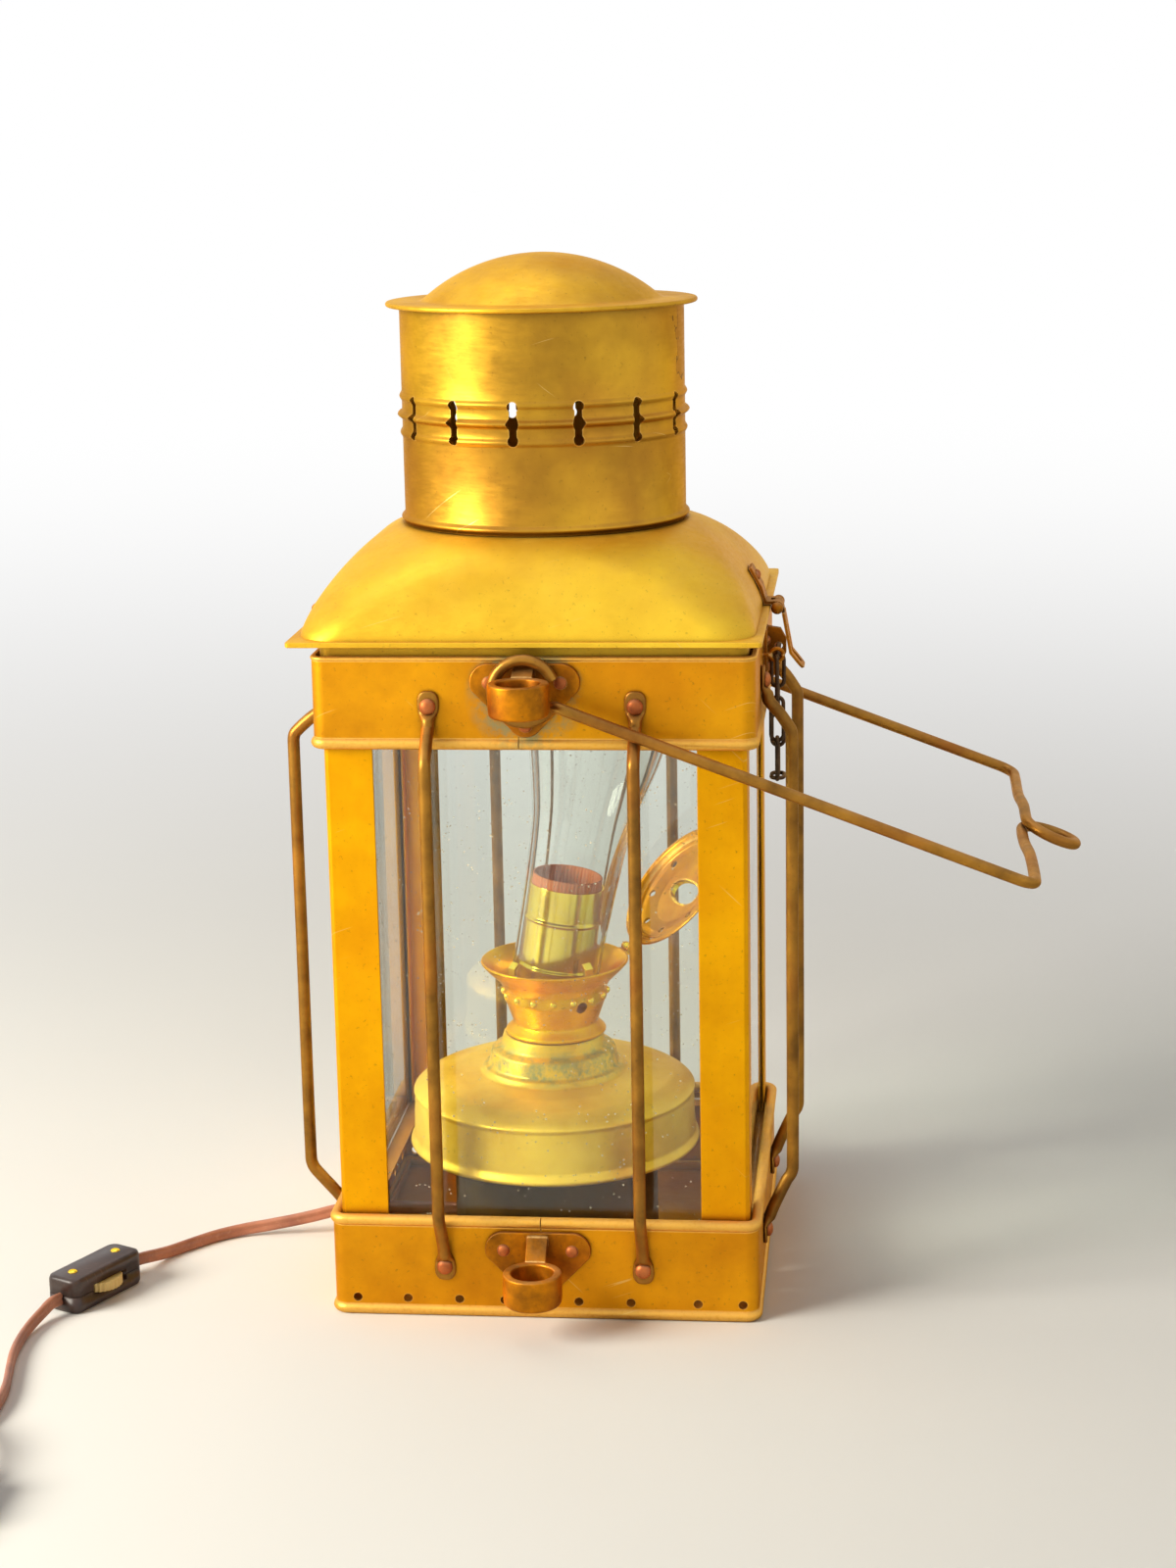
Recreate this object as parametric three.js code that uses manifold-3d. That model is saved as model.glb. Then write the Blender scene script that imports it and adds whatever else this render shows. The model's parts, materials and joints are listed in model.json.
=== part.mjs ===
// Brass ship lantern: a square glazed house with guard rods, a hinged roof with a vent drum, a swinging
// bail and an oil lamp that was fitted with an electric socket. Millimetres, +Z up, origin on the floor
// under the house's centre, front face towards -Y.
import * as THREE from 'three';
import { mergeVertices } from 'three/addons/utils/BufferGeometryUtils.js';
import Module from 'manifold-3d';

const wasm = await Module();
wasm.setup();

// Clearances
const gap = 0.3; // between pieces that seat on each other
const over = 2; // how far a cutter runs past what it cuts
const deg = Math.PI / 180;
const quarterTurn = 90;

// House
const house = { half: 82.5, wall: 1.2, corner: 5, lowerTop: 41, upperBottom: 225.4, upperTop: 260.6 };
const bead = { radius: 2.2, proud: 1.5 };
const roll = { radius: 0.9, proud: 0.7 };
const pan = { sheet: 1 };
const vent = { radius: 1.75, height: 7, cutLength: 8, sides: 6 };
// of the half width, drilled by eye
const ventShares = [-0.89, -0.65, -0.405, -0.19, 0.16, 0.405, 0.72, 0.93];
const ledge = { top: 34.5, drop: 9, sheet: 1, width: 13 };
const post = { width: 18.6, sheet: 1, web: 6, lip: 12.5 };
const glass = { thickness: 2.4 };

// Guard rods
const guard = { radius: 2.4, offset: 38.5, lugWidth: 8, lugHeight: 11, lugThickness: 1.7, lowLug: 21,
  low: 45 };
const guardReach = { front: 14, right: 12, back: 14, left: 16.5 };
const bend = { rise: 14 };
const bracket = { x: -2.2, plate: 2, width: 41, height: 27.8, lobe: 7.2, foot: 6.5, neckWidth: 8,
  neckDepth: 4.6 };
const cup = { outer: 11.25, bore: 8.1, height: 12.4, floor: 1.6, reach: 20.6 };
const cupDrop = { upper: 3.6, lower: 8.4 };
const bracketTop = { upper: 258.4, lower: 35.6 };
const stud = { radius: 5.5, thickness: 3 };
const bail = {
  radius: 2.2, eyeInner: 9.45, eyePlane: 6, armOut: 11.9, reach: 200, rest: 20.7, corner: 7, loop: 10.75,
  loopSteps: 15, play: 0.8, // the eye's room round the bracket's sloping neck
};
const eyeRun = { from: 42, to: 345, steps: 14 }; // degrees from the arm, round the eye to the elbow
const elbow = { start: 12.6, end: 15, straight: 20 };

// Roof
const roof = { shift: -2.7, eaves: 5.5, flangeBottom: 264.8, flangeSheet: 2, flangeCorner: 1.5, sheet: 1.2 };
const hood = { inset: 2.8, baseCorner: 16, shoulder: 2.4, height: 34, flare: 1.4, rounding: 1.25,
  perCorner: 4 };
const hoodTurns = [0, 18, 32, 44, 56, 72, 90]; // degrees up the hood's curve
const skirt = { depth: 8, sheet: 1 };
const collar = { radius: 53.6, height: 6 };
const drum = { radius: 55, wall: 1, height: 83.4, vents: 14, sides: 32, ventPhase: 7.3, beadZ: 41.8,
  beadStep: 7 };
const drumBead = { foot: 1.4, centre: 1.8, side: 0.9, halfWidth: 2.1 };
const keyhole = { height: 16.7, end: 2.1, waist: 1.45, middle: 2.6, middleHeight: 4.8 };
const cap = { brim: 59.3, roll: 0.95, sheet: 1, dome: 46.5, rise: 17.6, skirt: 7 };

// Hinge and hasp
const knuckle = { radius: 2.4, bore: 1.5, pin: 1.2, width: 12.4, middle: 4.4, ball: 2.4 };
const strap = { sheet: 1.4, cornerRadius: 3 };
const strapTurns = [32, 18, 0]; // degrees up the hood's curve
const leaf = { sheet: 1.2, length: 27, kick: 8, kickAngle: 28, slotWidth: 5.4, slotTop: 8.5,
  slotLength: 15.5 };
const hinge = { plate: 14, crank: 8, drop: 8 };
const staple = {
  nose: 8.8, thickness: 2, foot: 1.4, footWidth: 12, height: 20.5, low: 237.5, holeIn: 3, hole: 1.6,
  rootShare: 0.4,
};
const chain = { wire: 0.8, eye: 2.4, bite: 0.3, halfWidth: 2.4, pinRadius: 1, pinTail: 5, depth: 47,
  spread: 8.5, eyeAt: 11.5 };

// Lamp
const lampX = -4.2;
const foot = { radius: 42, wall: 1, hole: 3.4 };
const font = { bottom: 44, rim: 59.3, side: 57.2, seam: 68.5, wall: 1.2, collar: 20.2, collarTop: 90.5,
  bore: 14 };
const fontShares = { side: 0.9, curl: 0.97, dome: [[0.3, 0.62], [0.62, 0.88]], domeInner: [0.35, 0.4] };
const fontRings = { first: 29, firstTop: 77, second: 25.2, secondTop: 84, base: 30, baseZ: 74.8 };
const burner = { plug: 13.7, plugDrop: 6, base: 20.4, waist: 17.2, waistZ: 95.2, row: 21, rowZ: 107.5 };
const shaft = { hole: 2.4, z: 105, turn: -52.6 }; // where the wick's wheel once stood
const gallery = { rim: 30, rimZ: 121, sheet: 1.1, floorRadius: 19.5, floorZ: 109.5, shiftX: 1.2 };
const prong = { width: 4, sheet: 0.9, radius: 22.4, height: 8, lean: 2.2 };
const socket = { radius: 15.1, wall: 0.7, height: 41, lean: 8, bead: 0.5, beadShares: [1 / 6, 0.66] };
const liner = { wall: 0.8, proud: 4 };
const sleeve = { wall: 0.6, height: 24, floor: 1.2 };
const contact = { radius: 4.5, height: 2, tipShare: 0.8 };
const chimney = { wall: 1.1, length: 148, lean: 11, base: 17.7, bulge: 27.5, mouth: 19.5 };
const crown = { radius: 29, depth: 6, sheet: 1, lip: 5.5, open: 48.6, turn: 27.6, ring: 20, hole: 1.6, holes: 8,
  flareShare: 0.62 };
const crownHinge = { radius: 1.9, pin: 0.9, bore: 1.3, width: 7, middle: 3.4, reach: 2.6 };

// Cord: flat twin lead, 1.8 m from the house to the plug with its switch
const lead = { width: 5.2, height: 2.6 };
const exit = { y: -1, z: 12.5 };
const grommet = { flange: 5.6, flangeThickness: 1.5, neck: 3.9, bore: 3.3 };
const inline = { length: 40, width: 16, height: 14.5, corner: 4, turn: 63.4, x: -181.5, y: -71,
  wheelSlot: 4.6, entry: 6 };
const wheel = { radius: 9, thickness: 3.8, offset: 3.4, hole: 1.6, pin: 1.2, knurls: 18, knurl: 0.5 };
const coil = { x: -236.4, y: -224.5, inner: 22, layerTurns: 3.75, clearance: 0.55, steps: 20, flare: 15 };
const tie = { sheet: 0.9, width: 5 };
const plug = { length: 30, width: 20, height: 13, corner: 3, neck: 6, neckLength: 8 };
const blade = { sheet: 1.5, width: 6.3, length: 16, spread: 12.7 };

const finishes = {
  brass: { color: 0xb88a2c, roughness: 0.38, metalness: 1 },
  rodBrass: { color: 0x9c6c2a, roughness: 0.42, metalness: 1 },
  bright: { color: 0xd2a640, roughness: 0.3, metalness: 1 },
  copper: { color: 0xb5663f, roughness: 0.4, metalness: 1 },
  iron: { color: 0x3b3029, roughness: 0.6, metalness: 0.8 },
  glass: { color: 0xcfdcd2, roughness: 0.08, metalness: 0, transparent: true, opacity: 0.3 },
  card: { color: 0xcc7a52, roughness: 0.9, metalness: 0 },
  leadSheath: { color: 0x7a4a36, roughness: 0.5, metalness: 0 },
  brownPlastic: { color: 0x2e201c, roughness: 0.45, metalness: 0 },
  wheelPlastic: { color: 0xcfa64e, roughness: 0.5, metalness: 0 },
};
const materials = {};
for (const [name, values] of Object.entries(finishes)) {
  materials[name] = new THREE.MeshStandardMaterial(values);
}

// Merges shared corners, drops collapsed faces and turns the faces outwards
function welded(geometry) {
  const bare = geometry.index ? geometry.toNonIndexed() : geometry.clone();
  for (const name of Object.keys(bare.attributes)) if (name !== 'position') bare.deleteAttribute(name);
  const merged = mergeVertices(bare);
  const corners = merged.index.array;
  const at = (i) => new THREE.Vector3().fromBufferAttribute(merged.attributes.position, i);
  const kept = [];
  let volume = 0;
  for (let i = 0; i < corners.length; i += 3) {
    const [a, b, c] = corners.slice(i, i + 3);
    if (a === b || b === c || a === c) continue;
    kept.push([a, b, c]);
    volume += at(a).dot(at(b).cross(at(c)));
  }
  merged.setIndex(kept.flatMap(([a, b, c]) => (volume < 0 ? [a, c, b] : [a, b, c])));
  return merged;
}

function toSolid(geometry) {
  const closed = welded(geometry);
  return new wasm.Manifold(new wasm.Mesh({
    numProp: 3,
    vertProperties: new Float32Array(closed.attributes.position.array),
    triVerts: new Uint32Array(closed.index.array),
  }));
}

function fromSolid(solid) {
  const mesh = solid.getMesh();
  const geometry = new THREE.BufferGeometry();
  const xyz = new Float32Array(mesh.numVert * 3);
  for (let i = 0; i < mesh.numVert; i++) {
    for (let k = 0; k < 3; k++) xyz[3 * i + k] = mesh.vertProperties[i * mesh.numProp + k];
  }
  geometry.setAttribute('position', new THREE.BufferAttribute(xyz, 3));
  geometry.setIndex(Array.from(mesh.triVerts));
  return geometry;
}

const cut = (body, ...tools) => fromSolid(tools.reduce((solid, tool) => solid.subtract(toSolid(tool)),
  toSolid(body)));
const joined = (...bodies) => fromSolid(bodies.map(toSolid).reduce((sum, solid) => sum.add(solid)));

const moved = (geometry, x, y, z) => geometry.clone().translate(x, y, z);
const lathe = (points, sides) => new THREE.LatheGeometry(points.map(([r, z]) => new THREE.Vector2(r, z)),
  sides)
  .rotateX(90 * deg);
const outline = (points) => new THREE.Shape(points.map(([x, y]) => new THREE.Vector2(x, y)));
const slab = (shape, depth, curveSegments = 6) => new THREE.ExtrudeGeometry(shape, { depth,
  bevelEnabled: false,
  curveSegments });
const rod = (radius, length, sides = 12) => new THREE.CylinderGeometry(radius, radius, length, sides);

// A slab drawn in X and Z, thick along Y and centred on it
const across = (shape, depth, curveSegments) => slab(shape, depth, curveSegments).rotateX(90 * deg)
  .translate(0, depth / 2, 0);
// A slab drawn in X and Z that stands on the front face, from stand-off o outwards
const onFront = (shape, depth, o, curveSegments) => slab(shape, depth, curveSegments).rotateX(90 * deg)
  .translate(0, -(house.half + o), 0);
// A slab drawn in stand-off and height from the front face, thick along X and centred on x
const fromFront = (shape, depth, x) => slab(shape, depth).applyMatrix4(new THREE.Matrix4().makeBasis(
  new THREE.Vector3(0, -1, 0), new THREE.Vector3(0, 0, 1), new THREE.Vector3(-1, 0, 0)))
  .translate(x + depth / 2, -house.half, 0);

// Skins successive rings of equal count; a looped skin joins its last ring to its first
function lofted(rings, looped = false) {
  const count = rings[0].length;
  const corners = [];
  const last = looped ? rings.length : rings.length - 1;
  for (let i = 0; i < last; i++) {
    const next = (i + 1) % rings.length;
    for (let j = 0; j < count; j++) {
      const k = (j + 1) % count;
      corners.push(rings[i][j], rings[i][k], rings[next][k], rings[i][j], rings[next][k], rings[next][j]);
    }
  }
  if (!looped) {
    const end = rings[rings.length - 1];
    for (let j = 1; j < count - 1; j++) corners.push(rings[0][0], rings[0][j + 1], rings[0][j], end[0],
      end[j], end[j + 1]);
  }
  return new THREE.BufferGeometry().setFromPoints(corners);
}

// One level of a square with round corners
function squareRing(half, corner, z, perCorner = 3) {
  const ring = [];
  for (let quarter = 0; quarter < 4; quarter++) {
    for (let k = 0; k <= perCorner; k++) {
      const turn = (quarter + k / perCorner) * quarterTurn * deg;
      const middle = (quarter + 1 / 2) * quarterTurn * deg;
      const centre = (half - corner) * Math.SQRT2;
      ring.push(new THREE.Vector3(centre * Math.cos(middle) + corner * Math.cos(turn),
        centre * Math.sin(middle) + corner * Math.sin(turn), z));
    }
  }
  return ring;
}
const squareTube = (profile, half, corner) => lofted(profile.map(([out, z]) =>
  squareRing(half + out, Math.max(corner + out, corner / 4), z)), true);

// A path whose rings stand exactly at the given points, with level frames turned by a twist
class RingPath extends THREE.Curve {
  constructor(points, twists = null) {
    super();
    this.points = points;
    this.twists = twists;
  }
  getPoint(t) {
    const place = t * (this.points.length - 1);
    const i = Math.min(Math.floor(place), this.points.length - 2);
    return this.points[i].clone().lerp(this.points[i + 1], place - i);
  }
  getPointAt(u) {
    return this.getPoint(u);
  }
  getTangentAt(u) {
    const i = Math.round(u * (this.points.length - 1));
    const before = this.points[Math.max(i - 1, 0)];
    const after = this.points[Math.min(i + 1, this.points.length - 1)];
    const here = this.points[i];
    const into = here.clone().sub(before).normalize();
    const out = after.clone().sub(here).normalize();
    return into.add(out).normalize();
  }
  computeFrenetFrames(segments) {
    if (!this.twists) return super.computeFrenetFrames(segments, false);
    const up = new THREE.Vector3(0, 0, 1);
    const tangents = this.points.map((point, i) => this.getTangentAt(i / segments));
    const normals = tangents.map((tangent, i) => new THREE.Vector3().crossVectors(up, tangent).normalize()
      .applyAxisAngle(tangent, this.twists[i] * deg));
    const binormals = tangents.map((tangent, i) => new THREE.Vector3().crossVectors(tangent, normals[i]));
    return { tangents, normals, binormals };
  }
}
const ellipse = (a, b, sides) => new THREE.Shape(Array.from({ length: sides }, (_, k) => new THREE.Vector2(
  a * Math.cos((k + 1 / 2) * 360 / sides * deg), b * Math.sin((k + 1 / 2) * 360 / sides * deg))));
const swept = (points, shape, twists = null) => new THREE.ExtrudeGeometry(shape, { steps: points.length - 1,
  bevelEnabled: false, extrudePath: new RingPath(points, twists) });

// A closed wire loop in a plane
function wireLoop(points, normal, radius, sides = 4) {
  const rings = points.map((point, i) => {
    const ahead = points[(i + 1) % points.length];
    const behind = points[(i + points.length - 1) % points.length];
    const side = ahead.clone().sub(behind).normalize().cross(normal);
    return Array.from({ length: sides }, (_, k) => point.clone()
      .addScaledVector(side, radius * Math.cos(k * 360 / sides * deg))
      .addScaledVector(normal, radius * Math.sin(k * 360 / sides * deg)));
  });
  return lofted(rings, true);
}
// A stadium of two half rounds about the ends from and to
function stadium(from, to, normal, halfWidth, perEnd = 4) {
  const along = to.clone().sub(from).normalize();
  const side = along.clone().cross(normal);
  const points = [];
  for (const [centre, sign] of [[to, 1], [from, -1]]) {
    for (let k = 0; k <= perEnd; k++) {
      const turn = (90 - 180 * k / perEnd) * deg;
      points.push(centre.clone().addScaledVector(side, sign * halfWidth * Math.sin(turn))
        .addScaledVector(along, sign * halfWidth * Math.cos(turn)));
    }
  }
  return points;
}

const lantern = new THREE.Group();
lantern.name = 'ship_lantern';
function add(name, geometry, finish, parent = lantern) {
  const mesh = new THREE.Mesh(welded(geometry), materials[finish]);
  mesh.name = name;
  parent.add(mesh);
  return mesh;
}
// The four faces, each turned from the front
const faces = { front: 0, right: 90, back: 180, left: 270 };
const faced = (geometry, face) => geometry.clone().rotateZ(faces[face] * deg);

// A rolled bead as a run of profile points, from one angle to the other
const beadRun = (z, from, to, steps, shape = bead) => Array.from({ length: steps + 1 }, (_, k) => {
  const turn = (from + (to - from) * k / steps) * deg;
  return [shape.proud - shape.radius + shape.radius * Math.cos(turn), z + shape.radius * Math.sin(turn)];
});
const beadInner = 2 * bead.radius - bead.proud; // how far a bead stands inside the band's face
const postHalf = house.half - beadInner - gap;

function basePan() {
  const rim = postHalf;
  add('base_pan', lofted([
    squareRing(rim, house.corner / 2, 0), squareRing(rim, house.corner / 2, 2 * bead.radius),
    squareRing(rim - pan.sheet, house.corner / 4, 2 * bead.radius), squareRing(rim - pan.sheet,
      house.corner / 4, pan.sheet),
  ]), 'brass');
}

function lowerBand() {
  const topBead = house.lowerTop - bead.radius;
  const wall = -house.wall;
  const profile = [
    ...beadRun(bead.radius, -90, 70, 3), ...beadRun(topBead, -70, 90, 3), ...beadRun(topBead, 130, 230, 2),
    [wall, topBead - bead.radius], [wall, 2 * bead.radius], ...beadRun(bead.radius, 130, 230, 2),
  ];
  const holes = [];
  for (const face of Object.keys(faces)) {
    for (const share of ventShares) {
      const hole = rod(vent.radius, vent.cutLength, vent.sides).translate(share * house.half, -house.half,
        vent.height);
      holes.push(faced(hole, face));
    }
  }
  const cordHole = rod(grommet.neck + gap, vent.cutLength, 12).rotateZ(90 * deg).translate(-house.half,
    exit.y, exit.z);
  add('lower_band', cut(squareTube(profile, house.half, house.corner), ...holes, cordHole), 'brass');
}

function glassLedge() {
  const outer = -house.wall - gap;
  const low = ledge.top - ledge.drop;
  add('glass_ledge', squareTube([
    [outer, low], [outer, ledge.top], [-ledge.width, ledge.top], [-ledge.width, ledge.top - ledge.sheet],
    [outer - ledge.sheet, ledge.top - ledge.sheet], [outer - ledge.sheet, low],
  ], house.half, house.corner), 'brass');
}

const skirtBottom = roof.flangeBottom - skirt.depth;
const postBottom = ledge.top + gap;
const postTop = skirtBottom - gap;
const glassOut = post.sheet + gap; // the pane's outer face, inside the post's outer face

function cornerPosts() {
  const { sheet: t, web: c, width, lip } = post;
  const slot = t + glass.thickness + 2 * gap;
  const blunt = 3 * t / 2;
  const section = outline([
    [blunt, 0], [width, 0], [width, t], [c, t], [c, slot], [lip, slot], [lip, slot + t], [slot + t, slot + t],
    [slot + t, lip], [slot, lip], [slot, c], [t, c], [t, width], [0, width], [0, blunt],
  ]);
  const corner = slab(section, postTop - postBottom).translate(-postHalf, -postHalf, postBottom);
  const names = ['front_left', 'front_right', 'back_right', 'back_left'];
  names.forEach((name, k) => add(`post_${name}`, corner.clone().rotateZ(90 * k * deg), 'brass'));
}

function glassPanes() {
  const width = 2 * (postHalf - post.web - gap);
  const height = postTop - postBottom;
  const pane = new THREE.BoxGeometry(width, glass.thickness, height)
    .translate(0, -postHalf + glassOut + glass.thickness / 2, postBottom + height / 2);
  for (const face of Object.keys(faces)) add(`glass_${face}`, faced(pane, face), 'glass');
}

function upperBand() {
  const lowBead = house.upperBottom + bead.radius;
  const topRoll = house.upperTop - roll.radius;
  const wall = -house.wall;
  add('upper_band', squareTube([
    ...beadRun(lowBead, -90, 70, 3), ...beadRun(topRoll, -60, 90, 3, roll),
    [wall, house.upperTop], [wall, lowBead + bead.radius], ...beadRun(lowBead, 130, 230, 3),
  ], house.half, house.corner), 'brass');
}

// Bail geometry that the guards and brackets share
const neckTopAt = (o, plateTop, cupTop) => {
  const back = cup.reach - cup.outer;
  return plateTop - (o - bracket.plate) / (back - bracket.plate) * (plateTop - cupTop);
};
const upperCupTop = bracketTop.upper - cupDrop.upper;
const neckAtEye = neckTopAt(bail.eyePlane, bracketTop.upper, upperCupTop);
const pivotZ = neckAtEye - Math.sqrt((bail.eyeInner - bail.play) ** 2 - (bracket.neckWidth / 2) ** 2);
// The guards' upper bends carry the bail's arms
const restDrop = Math.tan(bail.rest * deg);
function shoulderTop(reach) {
  const out = reach - guard.radius - gap;
  const slope = Math.atan2(bend.rise, out);
  const armAt = Math.min(bail.armOut, reach);
  const armZ = pivotZ - (guard.offset - bracket.x) * restDrop;
  const seat = (guard.radius + bail.radius / Math.cos(bail.rest * deg) + gap) / Math.cos(slope);
  return armZ - seat + (armAt - guard.radius - gap) * bend.rise / out;
}

// One rod: flattened lugs at both ends, bent out to its stand-off between them
function guardRod(reach, top) {
  const seat = gap + guard.lugThickness / 2;
  const root = guard.radius + gap;
  const lugTop = top + guard.lugHeight;
  const lowTop = guard.lowLug + guard.lugHeight / 2;
  const a = guard.lugWidth / 2;
  const b = guard.lugThickness / 2;
  const r = guard.radius;
  const path = [
    [seat, lugTop, a / 2, b], [seat, lugTop - a / 2, a, b], [seat, top + a / 2, a, b], [root, top, r, r],
    [(root + reach) / 2, top - bend.rise / 2, r, r], [reach - r / 3, top - bend.rise + r / 2, r, r],
    [reach, top - bend.rise - r, r, r],
    [reach, guard.low, r, r],
    [root + r / 3, lowTop + r, r, r], [root, lowTop - r / 2, r, r], [seat, lowTop - a, a, b],
    [seat, guard.lowLug - a, a, b], [seat, lowTop - guard.lugHeight, a / 2, b],
  ];
  const rings = path.map(([o, z, wide, thick], i) => {
    const [beforeO, beforeZ] = path[Math.max(i - 1, 0)];
    const [afterO, afterZ] = path[Math.min(i + 1, path.length - 1)];
    const flat = thick < r;
    const along = new THREE.Vector2(flat ? 0 : afterO - beforeO, flat ? -1 : afterZ - beforeZ).normalize();
    return Array.from({ length: 8 }, (_, k) => {
      const turn = (k + 1 / 2) * 45 * deg;
      const across = thick * Math.sin(turn);
      return new THREE.Vector3(wide * Math.cos(turn), -(house.half + o - along.y * across),
        z - along.x * across);
    });
  });
  return lofted(rings);
}

function guards() {
  for (const [face, reach] of Object.entries(guardReach)) {
    const top = shoulderTop(reach);
    for (const [side, x] of [['first', -guard.offset], ['second', guard.offset]]) {
      add(`guard_${face}_${side}`, faced(moved(guardRod(reach, top), x, 0, 0), face), 'rodBrass');
    }
  }
}

// The trefoil plate with its neck
function bracketPlate(top, cupTop, neckEnd) {
  const { width, height, lobe, foot: low } = bracket;
  const shape = new THREE.Shape();
  shape.absarc(-width / 2 + lobe, top - lobe, lobe, 90 * deg, 205 * deg, false);
  shape.absarc(0, top - height + low, low, 215 * deg, 325 * deg, false);
  shape.absarc(width / 2 - lobe, top - lobe, lobe, -25 * deg, 90 * deg, false);
  const plate = onFront(shape, bracket.plate, gap, 4).translate(bracket.x, 0, 0);
  const back = cup.reach - cup.outer;
  const root = gap + bracket.plate / 2;
  const neckTop = (o) => neckTopAt(o, top, cupTop);
  const neck = fromFront(outline([
    [root, neckTop(bracket.plate) - bracket.neckDepth], [neckEnd, neckTop(back) - bracket.neckDepth],
    [neckEnd, neckTop(back)], [root, neckTop(bracket.plate) - gap],
  ]), bracket.neckWidth, bracket.x);
  return joined(plate, neck);
}

function socketBracket(name, top, drop) {
  const cupTop = top - drop;
  const low = cupTop - cup.height;
  const body = lathe([[0, low], [cup.outer, low], [cup.outer, cupTop], [0, cupTop]], 20)
    .translate(bracket.x, -(house.half + cup.reach), 0);
  const well = lathe([[0, low + cup.floor], [cup.bore, low + cup.floor], [cup.bore, cupTop + over], [0,
    cupTop + over]], 20)
    .translate(bracket.x, -(house.half + cup.reach), 0);
  const neckEnd = cup.reach - cup.bore;
  add(name, cut(joined(bracketPlate(top, cupTop, neckEnd), body), well), 'brass');
}

function brackets() {
  socketBracket('upper_socket_bracket', bracketTop.upper, cupDrop.upper);
  socketBracket('lower_socket_bracket', bracketTop.lower, cupDrop.lower);
  const back = cup.reach - cup.outer;
  const head = onFront(new THREE.Shape().absarc(0, 0, stud.radius, 0, 360 * deg, false), stud.thickness,
    back, 8)
    .translate(bracket.x, 0, upperCupTop - bracket.neckDepth / 2);
  const rear = joined(bracketPlate(bracketTop.upper, upperCupTop, back + stud.thickness / 2), head);
  // mirrored to the back, so that the bail's two eyes share one axis
  add('rear_bail_bracket', rear.clone().scale(1, -1, 1), 'brass');
}

// The bail: one rod bent to two eyes, two arms and a crossbar with a loop, drawn along its own arm and
// then turned
function bailRod() {
  const r = bail.eyeInner + bail.radius;
  const half = house.half + bail.armOut;
  const eyeY = house.half + bail.eyePlane;
  const points = [];
  const push = (s, y, n) => points.push(new THREE.Vector3(s, y, n));
  const eye = (sign) => {
    const run = [];
    for (let k = 0; k <= eyeRun.steps; k++) {
      const turn = (eyeRun.from + (eyeRun.to - eyeRun.from) * k / eyeRun.steps) * deg;
      run.push([r * Math.cos(turn), sign * eyeY, r * Math.sin(turn)]);
    }
    run.push([elbow.start, sign * (eyeY + (half - eyeY) / 3), -bail.radius / 2]);
    run.push([elbow.end, sign * half, 0], [elbow.straight, sign * half, 0]);
    return run;
  };
  for (const point of eye(-1)) push(...point);
  const c = bail.corner;
  const lift = (bail.radius * 2 + gap) / 2;
  for (const turn of [0, 30, 60, 90]) {
    push(bail.reach - c + c * Math.sin(turn * deg), -half + c - c * Math.cos(turn * deg), 0);
  }
  push(bail.reach, -2 * bail.loop, -lift);
  for (let k = 0; k <= bail.loopSteps; k++) {
    const turn = 360 * k / bail.loopSteps * deg;
    push(bail.reach + bail.loop * (1 - Math.cos(turn)), bail.loop * Math.sin(turn),
      lift * (2 * k / bail.loopSteps - 1));
  }
  push(bail.reach, 2 * bail.loop, lift);
  for (const turn of [90, 60, 30, 0]) {
    push(bail.reach - c + c * Math.sin(turn * deg), half - c + c * Math.cos(turn * deg), 0);
  }
  for (const point of eye(1).reverse()) push(...point);
  add('bail', swept(points, ellipse(bail.radius, bail.radius, 8)).rotateY(bail.rest * deg)
    .translate(bracket.x, 0, pivotZ), 'rodBrass');
}

// Roof
const roofHalf = house.half + roof.eaves;
const hoodBase = roofHalf - hood.inset;
const hoodShoulder = collar.radius + hood.shoulder;
const flangeTop = roof.flangeBottom + roof.flangeSheet;
const hoodTop = flangeTop + hood.height;
const skirtHalf = house.half - house.wall - gap - skirt.sheet;

// The hood's middle line: distance from the roof's axis, and height
const hoodAt = (turn) => [hoodShoulder + (hoodBase - hoodShoulder) * Math.cos(turn * deg) ** hood.flare,
  flangeTop + hood.height * Math.sin(turn * deg) ** hood.flare];

function roofHood() {
  const ring = (half, corner, z, x = roof.shift) => squareRing(half, corner, z, hood.perCorner)
    .map((point) => point.setX(point.x + x));
  const level = (turn, inset) => {
    const rise = Math.sin(turn * deg) ** hood.flare;
    const [half] = hoodAt(turn);
    const corner = hood.baseCorner + (hoodShoulder - hood.baseCorner) * rise ** hood.rounding;
    return ring(half - inset, Math.min(corner, half) - inset, flangeTop + hood.height * rise - inset);
  };
  const inner = collar.radius - roof.sheet;
  const rings = [
    ring(skirtHalf, house.corner, skirtBottom, 0), ring(skirtHalf, house.corner, roof.flangeBottom, 0),
    ring(roofHalf, roof.flangeCorner, roof.flangeBottom), ring(roofHalf, roof.flangeCorner, flangeTop),
    ...hoodTurns.map((turn) => level(turn, 0)),
    ring(collar.radius, collar.radius, hoodTop), ring(collar.radius, collar.radius, hoodTop + collar.height),
    ring(inner, inner, hoodTop + collar.height),
    ring(inner, inner, hoodTop - roof.sheet),
    ...hoodTurns.slice(1, -1).reverse().map((turn) => level(turn, roof.sheet)),
    ring(skirtHalf - skirt.sheet, house.corner, flangeTop, 0),
    ring(skirtHalf - skirt.sheet, house.corner, skirtBottom, 0),
  ];
  add('roof_hood', lofted(rings, true), 'bright');
}

const drumBottom = hoodTop + gap;
const drumTop = drumBottom + drum.height;

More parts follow.
